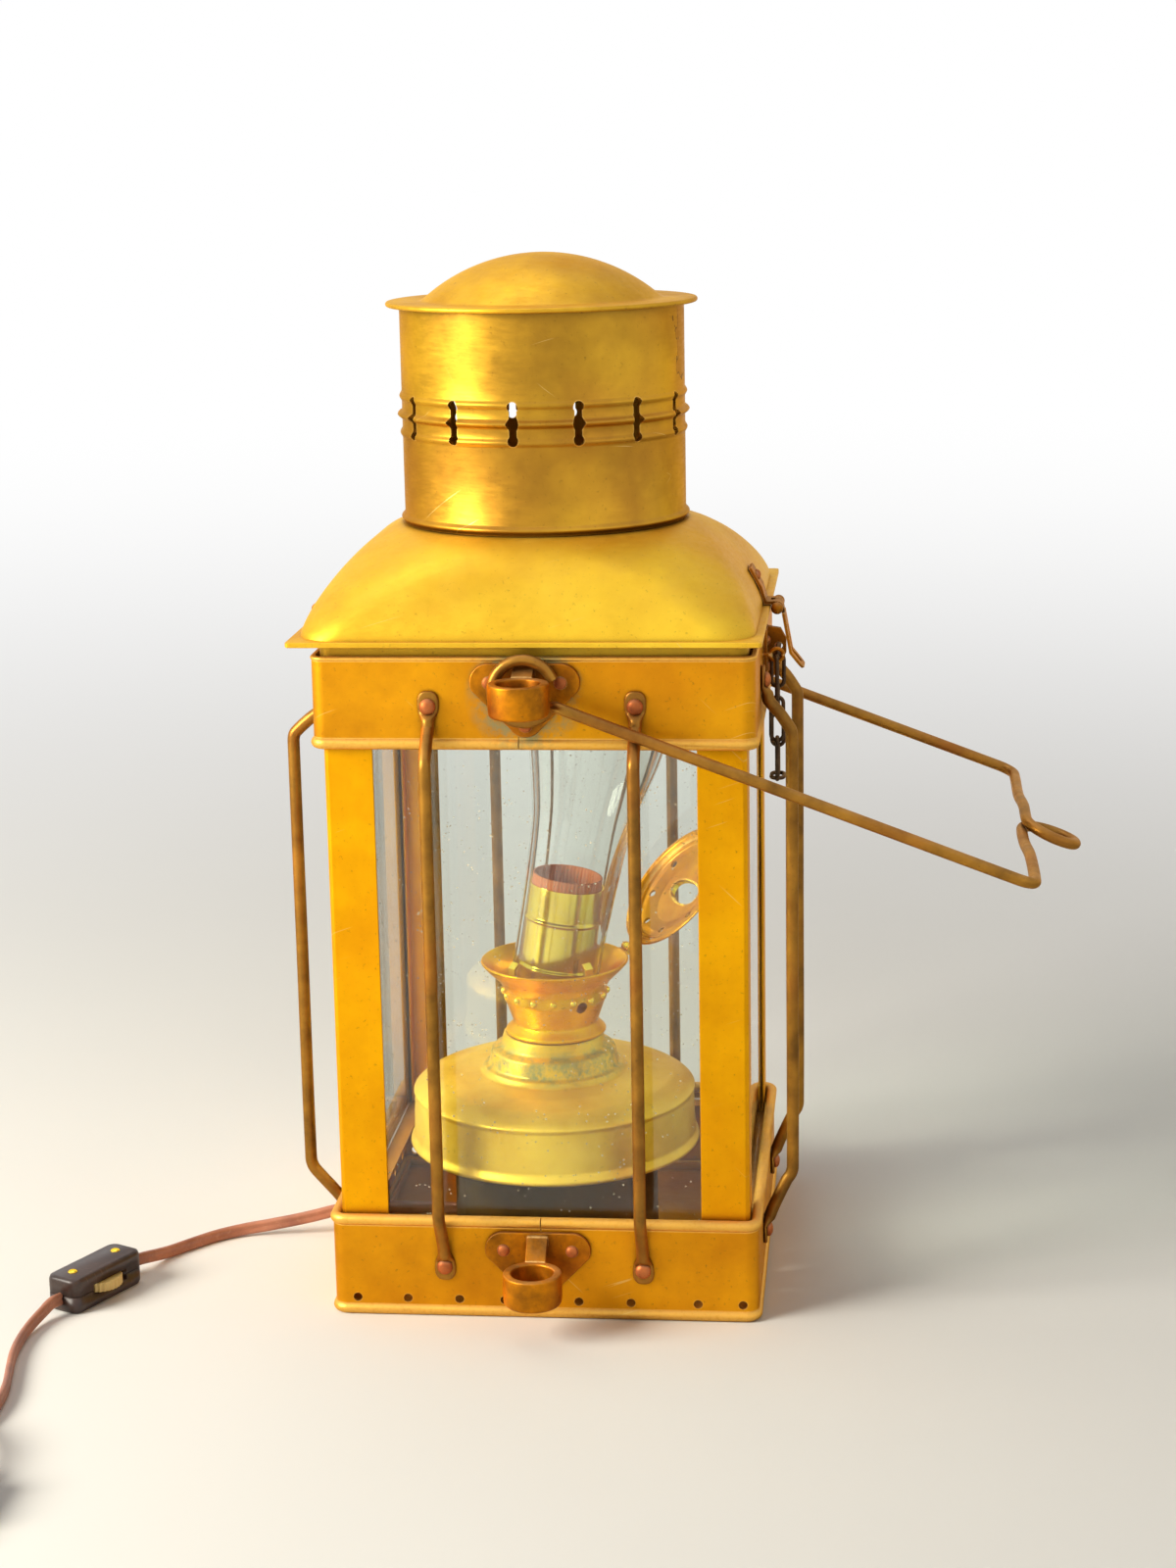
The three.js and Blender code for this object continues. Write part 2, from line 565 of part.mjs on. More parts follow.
function ventDrum() {
  const swell = (z, proud) => [
    [drum.radius, z - drumBead.halfWidth], [drum.radius + proud, z], [drum.radius, z + drumBead.halfWidth],
  ];
  const middle = drumBottom + drum.beadZ;
  const inner = drum.radius - drum.wall;
  const profile = [
    ...swell(drumBottom + drumBead.halfWidth, drumBead.foot), ...swell(middle - drum.beadStep, drumBead.side),
    ...swell(middle, drumBead.centre), ...swell(middle + drum.beadStep, drumBead.side),
    [drum.radius, drumTop], [inner, drumTop], [inner, drumBottom], [drum.radius, drumBottom],
  ];
  const { height, end, waist, middle: wide, middleHeight } = keyhole;
  const endZ = height / 2 - end;
  const bite = Math.acos(waist / end);
  const shape = new THREE.Shape();
  shape.absarc(0, endZ, end, -bite, 180 * deg + bite, false);
  shape.lineTo(-waist, middleHeight / 2);
  shape.lineTo(-wide, 0);
  shape.lineTo(-waist, -middleHeight / 2);
  shape.absarc(0, -endZ, end, 180 * deg - bite, 360 * deg + bite, false);
  shape.lineTo(waist, -middleHeight / 2);
  shape.lineTo(wide, 0);
  shape.lineTo(waist, middleHeight / 2);
  const depth = drum.wall + drumBead.centre + 2 * over;
  const tool = slab(shape, depth, 2).rotateX(90 * deg).translate(0, -(inner - over), middle);
  const vents = Array.from({ length: drum.vents }, (_, k) =>
    tool.clone().rotateZ((drum.ventPhase + (k + 1 / 2) * 360 / drum.vents) * deg));
  add('vent_drum', moved(cut(lathe(profile, drum.sides), ...vents), roof.shift, 0, 0), 'brass');
}

function ventCap() {
  const z = drumTop + gap;
  const skirtOuter = drum.radius - drum.wall - gap;
  const sphere = (cap.dome ** 2 + cap.rise ** 2) / (2 * cap.rise);
  const reach = Math.asin(cap.dome / sphere);
  const domeRun = (inset, steps) => Array.from({ length: steps + 1 }, (_, k) => {
    const turn = reach * k / steps;
    return [(sphere - inset) * Math.sin(turn), z + cap.sheet + cap.rise
      - sphere + (sphere - inset) * Math.cos(turn)];
  });
  const rolled = Array.from({ length: 4 }, (_, k) => {
    const turn = (90 - 60 * k) * deg;
    return [cap.brim + cap.roll * Math.cos(turn), z + cap.sheet - cap.roll + cap.roll * Math.sin(turn)];
  });
  const profile = [
    ...domeRun(0, 5), ...rolled, [skirtOuter, z], [skirtOuter, z - cap.skirt],
    [skirtOuter - cap.sheet, z - cap.skirt], [skirtOuter - cap.sheet, z],
    ...domeRun(cap.sheet, 3).reverse(),
  ];
  add('vent_cap', moved(lathe(profile, 22), roof.shift, 0, 0), 'brass');
}

// Hinge and hasp straps lie on the flange and climb the hood; both end in a pair of knuckles. They are
// drawn about the roof's axis on the +X side, and the hinge strap is the same piece mirrored
const knuckleOut = roofHalf + gap + knuckle.radius;
const strapBottom = flangeTop + gap;
const knuckleZ = strapBottom + strap.sheet - knuckle.radius;
const knuckleX = { right: roof.shift + knuckleOut, left: roof.shift - knuckleOut };

// A bent strip of sheet in X and Z, its thickness to the left of the way it runs
function strip(points, sheet) {
  const edge = points.map(([x, z], i) => {
    const [bx, bz] = points[i - 1] ?? [2 * x - points[1][0], 2 * z - points[1][1]];
    const [ax, az] = points[i + 1] ?? [2 * x - bx, 2 * z - bz];
    const into = new THREE.Vector2(x - bx, z - bz).normalize();
    const out = new THREE.Vector2(ax - x, az - z).normalize();
    const along = into.clone().add(out).normalize();
    const reach = sheet / along.dot(into);
    return [x - along.y * reach, z + along.x * reach];
  });
  return outline([...points, ...edge.reverse()]);
}

function barrel(x, z, width, depth = 0) {
  const body = rod(knuckle.radius, width).translate(x, depth, z);
  return { body, bore: rod(knuckle.bore, width + 2 * over).translate(x, depth, z) };
}

function roofStrap(name, mirrored) {
  const climb = strapTurns.map((turn) => hoodAt(turn)).map(([x, z]) => [x + gap, z + gap]);
  const plate = across(strip([...climb, [knuckleOut, strapBottom]], strap.sheet), knuckle.width);
  const { body, bore } = barrel(knuckleOut, knuckleZ, knuckle.width);
  const notch = new THREE.BoxGeometry(2 * (knuckle.radius + gap), knuckle.middle + 2 * gap,
    4 * knuckle.radius)
    .translate(knuckleOut, 0, knuckleZ);
  const piece = cut(joined(plate, body), bore, notch);
  if (mirrored) piece.scale(-1, 1, 1);
  add(name, moved(piece, roof.shift, 0, 0), 'brass');
}

function knucklePin(name, x) {
  const reach = knuckle.width / 2 + gap;
  const ball = (side) => new THREE.SphereGeometry(knuckle.ball, 8, 4).translate(x,
    side * (reach + knuckle.ball),
    knuckleZ);
  const shaft = rod(knuckle.pin, 2 * (reach + knuckle.ball), 10).translate(x, 0, knuckleZ);
  add(name, joined(shaft, ball(-1), ball(1)), 'brass');
}

// The hasp's leaf hangs just outside the staple's nose
const noseShare = 0.756; // the nose's upper corner, up the staple's height
const holeShare = 0.6;
const noseX = house.half + staple.nose;
const noseTop = staple.low + staple.height * noseShare;
function leafLean() {
  const dx = noseX - knuckleX.right;
  const dz = knuckleZ - noseTop;
  const inner = knuckle.radius - leaf.sheet;
  return Math.acos((inner - gap) / Math.hypot(dx, dz)) - Math.atan2(dz, dx);
}

function haspLeaf() {
  const inner = knuckle.radius - leaf.sheet;
  const start = knuckle.radius + gap;
  const kick = leaf.kickAngle * deg;
  const end = leaf.length - leaf.kick;
  const side = strip([
    [inner, -start], [inner, -end], [inner + leaf.kick * Math.sin(kick), -end - leaf.kick * Math.cos(kick)],
  ], leaf.sheet);
  const plate = across(side, knuckle.width);
  const tongue = across(strip([[inner, 0], [inner, -start - leaf.sheet]], leaf.sheet), knuckle.middle);
  const { body, bore } = barrel(0, 0, knuckle.middle);
  const slot = new THREE.BoxGeometry(4 * knuckle.radius, leaf.slotWidth, leaf.slotLength)
    .translate(inner, 0, -leaf.slotTop - leaf.slotLength / 2);
  const round = cornerTools(knuckle.width / 2, end + leaf.kick * Math.cos(kick), strap.cornerRadius);
  const piece = cut(joined(plate, tongue, body), bore, slot, ...round);
  add('hasp_leaf', piece.rotateY(-leafLean()).translate(knuckleX.right, 0, knuckleZ), 'brass');
}

// Two corner cutters for the lower end of a leaf of half width w and length down to -low
function cornerTools(w, low, radius) {
  return [-1, 1].map((side) => {
    const block = new THREE.BoxGeometry(8 * radius, 2 * radius, 2 * radius).translate(0, side * w, -low);
    const quarter = rod(radius, 8 * radius + over).rotateZ(90 * deg).translate(0, side * (w - radius),
      -low + radius);
    return cut(block, quarter);
  });
}

// The hinge's leaf is cranked from its knuckle back to the band's left face
const hingeTop = knuckleZ - hinge.crank - hinge.drop;
const hingeBottom = hingeTop - hinge.plate;
function hingeLeaf() {
  const wall = -(house.half + gap);
  const out = knuckleX.left - knuckle.radius;
  const bendZ = knuckleZ - hinge.crank;
  const plate = across(strip([
    [wall, hingeBottom], [wall, hingeTop], [out + leaf.sheet, bendZ],
    [out + leaf.sheet, knuckleZ - knuckle.radius],
  ], leaf.sheet), knuckle.width);
  const tongue = across(strip([[out + leaf.sheet, bendZ], [out + leaf.sheet, knuckleZ]], leaf.sheet),
    knuckle.middle);
  const clear = new THREE.BoxGeometry(4 * knuckle.radius, knuckle.width, 4 * knuckle.radius)
    .translate(knuckleX.left, 0, knuckleZ + knuckle.radius - gap);
  const { body, bore } = barrel(knuckleX.left, knuckleZ, knuckle.middle);
  add('hinge_leaf', cut(joined(cut(plate, clear), tongue, body), bore), 'brass');
}

// The staple stands out of the band's right face, with its foot riveted beside it
const holeX = noseX - staple.holeIn;
const holeZ = staple.low + staple.height * holeShare;
function haspStaple() {
  const root = house.half + gap;
  const top = staple.low + staple.height;
  const blade = across(outline([
    [root, staple.low], [root + staple.nose * staple.rootShare, staple.low], [noseX,
      holeZ - staple.hole - staple.thickness / 2],
    [noseX, noseTop], [noseX - staple.nose / 4, top - staple.thickness / 2], [root, top],
  ]), staple.thickness);
  const width = staple.footWidth;
  const footPlate = new THREE.BoxGeometry(staple.foot, width, staple.height)
    .translate(root + staple.foot / 2, -width / 2 + staple.thickness / 2, staple.low + staple.height / 2);
  const hole = rod(staple.hole, staple.thickness + over, 10).translate(holeX, 0, holeZ);
  add('hasp_staple', cut(joined(blade, footPlate), hole), 'brass');
}
// A split pin through the staple's hole, and a chain of bent wire links from its eye to an eye on the band
const pinEyeY = -chain.eyeAt;
const farEyeY = pinEyeY - chain.spread;
function pinChain() {
  const w = chain.wire;
  const xPlane = new THREE.Vector3(1, 0, 0);
  const yPlane = new THREE.Vector3(0, 1, 0);
  const ringRun = (y, normal) => Array.from({ length: 8 }, (_, k) => {
    const turn = 45 * k * deg;
    const level = chain.eye * Math.cos(turn);
    return normal === xPlane ? new THREE.Vector3(holeX, y + level, holeZ + chain.eye * Math.sin(turn))
      : new THREE.Vector3(holeX + level, y, holeZ + chain.eye * Math.sin(turn));
  });
  const shaftEnd = staple.thickness / 2 + chain.pinTail;
  const shaftStart = pinEyeY + chain.eye;
  const shaft = rod(chain.pinRadius, shaftEnd - shaftStart, 8).translate(holeX,
    (shaftEnd + shaftStart) / 2, holeZ);
  const pieces = [joined(wireLoop(ringRun(pinEyeY, xPlane), xPlane, w), shaft)];
  const half = w - chain.bite / 2;
  const start = holeZ - chain.eye + half;
  const stations = chainShares.map(([across, down]) => new THREE.Vector3(
    holeX, pinEyeY + (farEyeY - pinEyeY) * across, start - down * chain.depth));
  // the last link hangs in the band's eye with a little play
  stations[stations.length - 1].z = holeZ - chain.eye + 2 * w + gap - half;
  for (let i = 0; i + 1 < stations.length; i++) {
    const along = stations[i + 1].clone().sub(stations[i]).normalize();
    const normal = i % 2 ? xPlane : along.clone().cross(xPlane);
    const from = stations[i].clone().addScaledVector(along, chain.halfWidth - half);
    const to = stations[i + 1].clone().addScaledVector(along, half - chain.halfWidth);
    pieces.push(wireLoop(stadium(from, to, normal, chain.halfWidth, 3), normal, w));
  }
  add('pin_chain', joined(...pieces), 'iron');
  const eye = wireLoop(ringRun(farEyeY, yPlane), yPlane, w);
  const stemStart = house.half + gap;
  const stem = rod(chain.pinRadius, holeX - chain.eye - stemStart, 8).rotateZ(90 * deg)
    .translate((stemStart + holeX - chain.eye) / 2, farEyeY, holeZ);
  add('chain_eye', joined(eye, stem), 'copper');
}
// Where the chain's links meet, as shares of its spread and of its depth
const chainShares = [[0, 0], [0, 0.25], [0, 0.5], [0, 0.75], [0, 1], [1, 1], [1, 0.67], [1, 0.33], [1, 0]];

// Lamp
const fontFloor = pan.sheet + gap;
function fontFoot() {
  const top = font.bottom - gap;
  const inner = foot.radius - foot.wall;
  const shell = lathe([[foot.radius, fontFloor], [foot.radius, top], [inner, top], [inner, fontFloor],
    [foot.radius, fontFloor]], 20).translate(lampX, 0, 0);
  const hole = rod(foot.hole, foot.radius, 10).rotateZ(90 * deg).translate(lampX - foot.radius, exit.y,
    exit.z);
  add('font_foot', cut(shell, hole), 'brass');
}

function fontBody() {
  const w = font.wall;
  const b = font.bottom;
  const { first, firstTop, second, secondTop, base, baseZ } = fontRings;
  const seamRise = font.seam - b;
  const dome = baseZ - font.seam;
  const [innerIn, innerUp] = fontShares.domeInner;
  const outer = [
    [0, b], [font.rim - 2 * w, b], [font.rim, b + w], [font.rim, b + 2 * w], [font.side + w / 2, b + 4 * w],
    [font.side, b + seamRise * fontShares.side], [font.side + w / 2, b + seamRise * fontShares.curl],
    [font.side - w, font.seam + w / 2],
    ...fontShares.dome.map(([inward, up]) => [font.side - (font.side - base) * inward,
      font.seam + dome * up]),
    [base, baseZ], [first, baseZ + w], [first - w / 2, firstTop],
    [second + w, firstTop + w / 2], [second, secondTop], [font.collar + w, secondTop + w],
    [font.collar, font.collarTop], [font.bore, font.collarTop],
  ];
  const inner = [
    [font.bore, baseZ], [base, baseZ - 2 * w], [font.side - (font.side - base) * innerIn,
      font.seam + dome * innerUp - w],
    [font.side - 2 * w, font.seam - w], [font.side - 2 * w, b + w], [0, b + w],
  ];
  add('font', moved(lathe([...outer, ...inner], 20), lampX, 0, 0), 'brass');
}

const galleryX = lampX + gallery.shiftX;
// the sloping inner side of the gallery's dish
const galleryDish = [[gallery.floorRadius + 2 * gallery.sheet, gallery.floorZ + 3 * gallery.sheet],
  [gallery.rim - 3 * gallery.sheet, gallery.rimZ - 2 * gallery.sheet]];
function burnerBody() {
  const low = font.collarTop - burner.plugDrop;
  const seat = font.collarTop + gap;
  const t = gallery.sheet;
  const { rim, rimZ, floorRadius, floorZ } = gallery;
  const shell = lathe([
    [0, seat], [burner.base, seat], [burner.base, seat + t],
    [burner.waist, burner.waistZ], [burner.waist + t, burner.waistZ + 3 * t], [burner.row - t,
      burner.rowZ - 4 * t],
    [burner.row, burner.rowZ - 2 * t], [burner.row, burner.rowZ + 2 * t],
    [floorRadius + 3 * t, floorZ + 3 * t], [rim - 2 * t, rimZ - 3 * t], [rim, rimZ - t], [rim, rimZ],
      [rim - t, rimZ],
    ...galleryDish.toReversed(), [floorRadius, floorZ], [0, floorZ],
  ], 20).translate(galleryX, 0, 0);
  const plugRod = rod(burner.plug, seat + t - low, 20).rotateX(90 * deg).translate(lampX, 0,
    (seat + t + low) / 2);
  const shaftHole = rod(shaft.hole, burner.row, 8).rotateZ(90 * deg).translate(burner.row, 0, 0)
    .rotateZ(shaft.turn * deg).translate(galleryX, 0, shaft.z);
  const ears = [-1, 1].map((side) => crownEar(side));
  const pin = rod(crownHinge.pin, crownHinge.width, 8).translate(crownOut, 0, crownZ);
  add('burner', joined(plugRod, cut(shell, shaftHole), ...galleryProngs(),
    ...[...ears, pin].map(onGallery)), 'bright');
}

// The crown's hinge: two ears with a pin on the gallery's rim, and one knuckle on the crown
const crownOut = gallery.rim + crownHinge.reach;
const crownZ = gallery.rimZ + gap;
function crownEar(side) {
  const wide = (crownHinge.width - crownHinge.middle) / 2 - gap;
  const y = side * (crownHinge.middle / 2 + gap + wide / 2);
  const round = rod(crownHinge.radius, wide, 10).translate(crownOut, y, crownZ);
  const arm = new THREE.BoxGeometry(crownHinge.reach + gallery.sheet, wide, crownHinge.radius)
    .translate(crownOut - crownHinge.reach / 2 - gallery.sheet / 2, y, gallery.rimZ - crownHinge.radius / 2);
  return joined(round, arm);
}

// The hinge stands towards the back of the gallery's right side
function onGallery(solid) {
  return solid.rotateZ(crown.turn * deg).translate(galleryX, 0, 0);
}

function burnerCrown() {
  const { radius, depth, sheet, lip } = crown;
  const flare = radius * crown.flareShare;
  const dish = lathe([
    [lip - sheet, depth + sheet], [lip, depth + 2 * sheet], [lip + sheet, depth], [flare, depth - sheet],
    [radius - 2 * sheet, sheet], [radius, sheet], [radius, 0], [radius - 2.2 * sheet, 0],
    [flare - sheet / 2, depth - 2 * sheet], [lip, depth - sheet], [lip - sheet, depth + sheet],
  ], 18);
  const holes = Array.from({ length: crown.holes }, (_, k) => rod(crown.hole, 4 * depth, 5).rotateX(90 * deg)
    .translate(crown.ring, 0, depth).rotateZ((k + 1 / 2) * 360 / crown.holes * deg));
  const reach = radius + crownHinge.bore + crownHinge.radius;
  const knob = rod(crownHinge.radius, crownHinge.middle, 10).translate(-reach, 0, 0);
  const tongue = new THREE.BoxGeometry(crownHinge.radius + crownHinge.bore + sheet, crownHinge.middle, sheet)
    .translate(-reach + (crownHinge.radius + crownHinge.bore + sheet) / 2, 0, sheet / 2);
  const bore = rod(crownHinge.bore, crownHinge.middle + over, 10).translate(-reach, 0, 0);
  const catchTab = new THREE.BoxGeometry(3 * sheet, 3 * sheet, sheet).translate(radius + sheet, 0, sheet / 2);
  // the dish stands open on its hinge with its hollow side towards the chimney
  const piece = cut(joined(cut(dish, ...holes), knob, tongue, catchTab), bore).rotateX(180 * deg);
  const open = piece.translate(reach, 0, 0).rotateY(-crown.open * deg).translate(crownOut, 0, crownZ);
  add('burner_crown', onGallery(open), 'brass');
}

function galleryProngs() {
  const t = prong.sheet;
  const [[innerR, innerZ], [outerR, outerZ]] = galleryDish;
  const low = innerZ + (prong.radius - innerR) / (outerR - innerR) * (outerZ - innerZ) - prong.sheet;
  const side = strip([
    [prong.radius, low], [prong.radius, low + prong.height], [prong.radius - prong.lean,
      low + prong.height + prong.lean],
  ], t);
  const one = across(side, prong.width);
  return prongTurns.map((turn) => one.clone().rotateZ(turn * deg).translate(galleryX, 0, 0));
}
const prongTurns = [45, 135, 225, 315];

// The lamp socket stands a little crooked in the gallery, inside the chimney
const socketFoot = gallery.floorZ + gap + socket.radius * Math.sin(socket.lean * deg);
const upright = (geometry) => geometry.rotateY(socket.lean * deg).translate(galleryX, 0, socketFoot);
function lampSocket() {
  const { radius, wall, height, bead: swell, beadShares } = socket;
  const inner = radius - wall;
  const ridge = (z) => [[radius, z - 2 * swell], [radius + swell, z - swell], [radius + swell, z + swell],
    [radius, z + 2 * swell]];
  const shell = lathe([
    [0, 0], [radius, 0], ...beadShares.flatMap((share) => ridge(height * share)), [radius, height], [inner,
      height], [inner, wall],
    [0, wall],
  ], 16);
  add('socket_shell', upright(shell), 'bright');
  const cardOuter = inner - gap;
  const cardInner = cardOuter - liner.wall;
  const low = wall + gap;
  add('socket_liner', upright(lathe([[cardOuter, low], [cardOuter, height + liner.proud], [cardInner,
    height + liner.proud],
    [cardInner, low], [cardOuter, low]], 20)), 'card');
  const threadOuter = cardInner - gap;
  const threadInner = threadOuter - sleeve.wall;
  const top = height - liner.proud;
  add('socket_sleeve', upright(lathe([[0, low], [threadOuter, low], [threadOuter, top], [threadInner, top],
    [threadInner, top - sleeve.height], [0, top - sleeve.height]], 20)), 'bright');
  const contactZ = top - sleeve.height + gap;
  add('socket_contact', upright(lathe([[0, contactZ], [contact.radius, contactZ],
    [contact.radius * contact.tipShare,
    contactZ + contact.height], [0, contactZ + contact.height]], 12)), 'copper');
}

function glassChimney() {
  const { wall, length, base, bulge, mouth } = chimney;
  const outer = chimneyShares.map(([along, out]) => [base + (bulge - base) * out, length * along]);
  outer.push([mouth, length]);
  const inner = outer.map(([r, z]) => [r - wall, z]).reverse();
  const footZ = gallery.floorZ + gap + base * Math.sin(chimney.lean * deg);
  add('chimney', lathe([...outer, ...inner, outer[0]], 16).rotateY(chimney.lean * deg)
    .translate(galleryX - gap, 0, footZ), 'glass');
}
// Along the chimney, and from its base radius to its bulge
const chimneyShares = [[0, 0], [0.28, 0.1], [0.44, 0.26], [0.54, 0.55], [0.63, 0.86], [0.7, 1], [0.77, 0.93],
  [0.86, 0.6], [0.94, 0.28]];

// Cord
const leadSection = (sides = 8) => ellipse(lead.height / 2, lead.width / 2, sides);
const exitX = -(house.half + gap + grommet.flangeThickness + gap);
const switchAlong = new THREE.Vector3(Math.cos(inline.turn * deg), Math.sin(inline.turn * deg), 0);
const switchEnd = (sign) => new THREE.Vector3(inline.x, inline.y, inline.entry)
  .addScaledVector(switchAlong, sign * (inline.length / 2 + gap));

function cordGrommet() {
  const { flange, flangeThickness: thick, neck, bore } = grommet;
  const face = house.half + gap;
  const back = house.half - house.wall - gap;
  const body = lathe([
    [bore, back - thick], [flange - 1 / 2, back - thick], [flange - 1 / 2, back], [neck, back], [neck,
      face], [flange, face],
    [flange, face + thick / 2], [flange - thick / 2, face + thick], [bore, face + thick], [bore,
      back - thick],
  ], 12).rotateY(-90 * deg).translate(0, exit.y, exit.z);
  add('cord_grommet', body, 'brownPlastic');
}

// The lead's route over the floor, on its narrow edge
const cordRun = [
  [exitX, exit.y, exit.z], [-90.5, -1.4, 12.1], [-98.1, -2.4, 10.5], [-107, -3.3, 8.3], [-114.7, -3.9, 6.6],
  [-126, -4.7, 4.4], [-135.2, -6.6, 3.2], [-145, -12.5, 2.7], [-153, -20.8, 2.6], [-162, -32.4, 2.9],
];
const tailRun = [
  [-195, -98.4, 4.4], [-197.2, -110, 3], [-197.4, -123, 2.6], [-196, -136, 2.6], [-193.4, -149, 2.6],
  [-190.2, -165, 2.6], [-189.4, -181, 2.8], [-192, -196, 3.4],
];

function cordLead() {
  const points = cordRun.map((point) => new THREE.Vector3(...point));
  const into = switchEnd(1);
  points.push(into.clone().addScaledVector(switchAlong, lead.width), into);
  add('cord_lead', swept(points, leadSection(), points.map(() => 0)), 'leadSheath');
  const inner = -(house.half - house.wall - gap - grommet.flangeThickness - gap);
  const far = lampX - foot.radius + foot.wall + lead.width;
  const stretch = Array.from({ length: 5 }, (_, k) => new THREE.Vector3(inner + (far - inner) * k / 4,
    exit.y, exit.z));
  add('inner_lead', swept(stretch, leadSection(), stretch.map(() => 0)), 'leadSheath');
}

function switchBody() {
  const { length, width, height, corner } = inline;
  const shape = new THREE.Shape();
  const x = length / 2 - corner;
  const y = width / 2 - corner;
  for (const [sx, sy, start] of [[1, 1, 0], [-1, 1, 90], [-1, -1, 180], [1, -1, 270]]) {
    shape.absarc(sx * x, sy * y, corner, start * deg, (start + 90) * deg, false);
  }
  const block = slab(shape, height, 3);
  const slot = new THREE.BoxGeometry(2 * (wheel.radius + 2 * gap), width, inline.wheelSlot)
    .translate(0, -width / 2 + wheelIn, height / 2);
  const pin = rod(wheel.pin, height - 2 * corner, 10).rotateX(90 * deg).translate(0, wheelY, height / 2);
  add('cord_switch', joined(cut(block, slot), pin).rotateZ(inline.turn * deg).translate(inline.x, inline.y,
    0), 'brownPlastic');
}
const wheelY = -inline.width / 2 - wheel.offset + wheel.radius;
const wheelIn = wheelY + wheel.radius + 2 * gap;

function switchWheel() {
  const sides = 2 * wheel.knurls;
  const shape = new THREE.Shape(Array.from({ length: sides }, (_, k) => {
    const r = wheel.radius - (k % 2 ? wheel.knurl : 0);
    return new THREE.Vector2(r * Math.cos(360 / sides * k * deg), r * Math.sin(360 / sides * k * deg));
  }));
  shape.holes.push(new THREE.Path().absarc(0, 0, wheel.hole, 0, 360 * deg, true));
  const disc = slab(shape, wheel.thickness, 4).translate(0, wheelY, (inline.height - wheel.thickness) / 2);
  add('switch_wheel', disc.rotateZ(inline.turn * deg).translate(inline.x, inline.y, 0), 'wheelPlastic');
}

// The spare lead: loops wound inwards on the floor and outwards again on top of them, on edge
const coilLow = tie.sheet + gap + lead.width / 2;
const coilRise = lead.width + coil.clearance;
function coilPoints() {
  const pitch = lead.height + coil.clearance;
  const turning = coil.inner + pitch / 2;
  const points = [];
  const total = 2 * coil.layerTurns + 1 / 2;
  const count = Math.round(total * coil.steps);
  for (let k = 0; k <= count; k++) {
    const turns = total * k / count;
    const past = turns - coil.layerTurns;
    const climb = THREE.MathUtils.clamp(past * 2, 0, 1);
    // in until the climb is done, out quickly over the loops below, then out as it came in
    const steps = past < 1 / 2 ? -past : Math.min(3 * past - 2, past);
    const flare = THREE.MathUtils.smoothstep(turns, total - 1 / 4, total);
    const radius = turning + pitch * steps + coil.flare * flare;
    const z = coilLow + coilRise * climb;
    const turn = -360 * turns * deg;
    points.push(new THREE.Vector3(coil.x + radius * Math.cos(turn), coil.y + radius * Math.sin(turn), z));
  }
  const last = points[points.length - 1];
  points.push(last.clone().setY(last.y - lead.width - gap));
  return points;
}

function cordCoil() {
  const points = coilPoints();
  let least = Infinity;
  for (let i = 0; i < points.length; i++) {
    for (let j = i + coil.steps / 2; j < points.length; j++) {
      const dz = Math.abs(points[i].z - points[j].z);
      const level = Math.hypot(points[i].x - points[j].x, points[i].y - points[j].y);
      least = Math.min(least, Math.max(level - lead.height, dz - lead.width));
    }
  }
  console.log(`coil: ${points.length} points, least gap to itself ${least.toFixed(2)} mm`);
  add('cord_coil', swept(points, ellipse(lead.height / 2, lead.width / 2, 6), points.map(() => 0)),
    'leadSheath');
  return points;
}

function cordTail() {
  const start = switchEnd(-1);
  const coiled = coilPoints();
  const entry = coiled[0].clone();
  const along = coiled[1].clone().sub(coiled[0]).normalize();
  const points = [start, start.clone().addScaledVector(switchAlong, -lead.width)];
  for (const point of tailRun) points.push(new THREE.Vector3(...point));
  points.push(entry.clone().addScaledVector(along, -2 * lead.width - gap));
  points.push(entry.clone().addScaledVector(along, -gap));
  add('cord_tail', swept(points, leadSection(), points.map(() => 0)), 'leadSheath');
}

// The plug lies beyond the coil's outer end
function plugAndBlades() {
  const coiled = coilPoints();
  const end = coiled[coiled.length - 1];
  const back = end.y - 2 * gap;
  const { length, width, height, corner, neck, neckLength } = plug;
  const shape = new THREE.Shape();
  const x = width / 2 - corner;
  const z = height / 2 - corner;
  for (const [sx, sz, start] of [[1, 1, 0], [-1, 1, 90], [-1, -1, 180], [1, -1, 270]]) {
    shape.absarc(sx * x, sz * z, corner, start * deg, (start + 90) * deg, false);
  }
  const block = slab(shape, length, 3).rotateX(90 * deg).translate(end.x, back - neckLength, height / 2);
  const collarRod = rod(neck, neckLength + corner, 16).translate(end.x, back - (neckLength + corner) / 2,
    height / 2);
  add('plug_body', joined(block, collarRod), 'brownPlastic');
  const face = back - neckLength - length - gap;
  const one = new THREE.BoxGeometry(blade.sheet, blade.length, blade.width);
  for (const [name, side] of [['left', -1], ['right', 1]]) {
    add(`plug_blade_${name}`, moved(one, end.x + side * blade.spread / 2, face - blade.length / 2,
      height / 2), 'bright');
  }
}

// A flat tie holds the coil's loops together on the side away from its ends
function cordTie() {
  const low = coil.inner - lead.height / 2 - gap - tie.sheet;
  const outer = coil.inner + (lead.height + coil.clearance) * (coil.layerTurns
    + 1) + lead.height / 2 + tie.sheet;
  const top = coilLow + coilRise + lead.width / 2 + gap + tie.sheet;
  const frame = across(outline([[low, 0], [outer, 0], [outer, top], [low, top]]), tie.width);
  const inside = across(outline([[low + tie.sheet, tie.sheet], [outer - tie.sheet, tie.sheet],
    [outer - tie.sheet, top - tie.sheet], [low + tie.sheet, top - tie.sheet]]), tie.width + over);
  add('cord_tie', cut(frame, inside).rotateZ(180 * deg).translate(coil.x, coil.y, 0), 'brownPlastic');
}

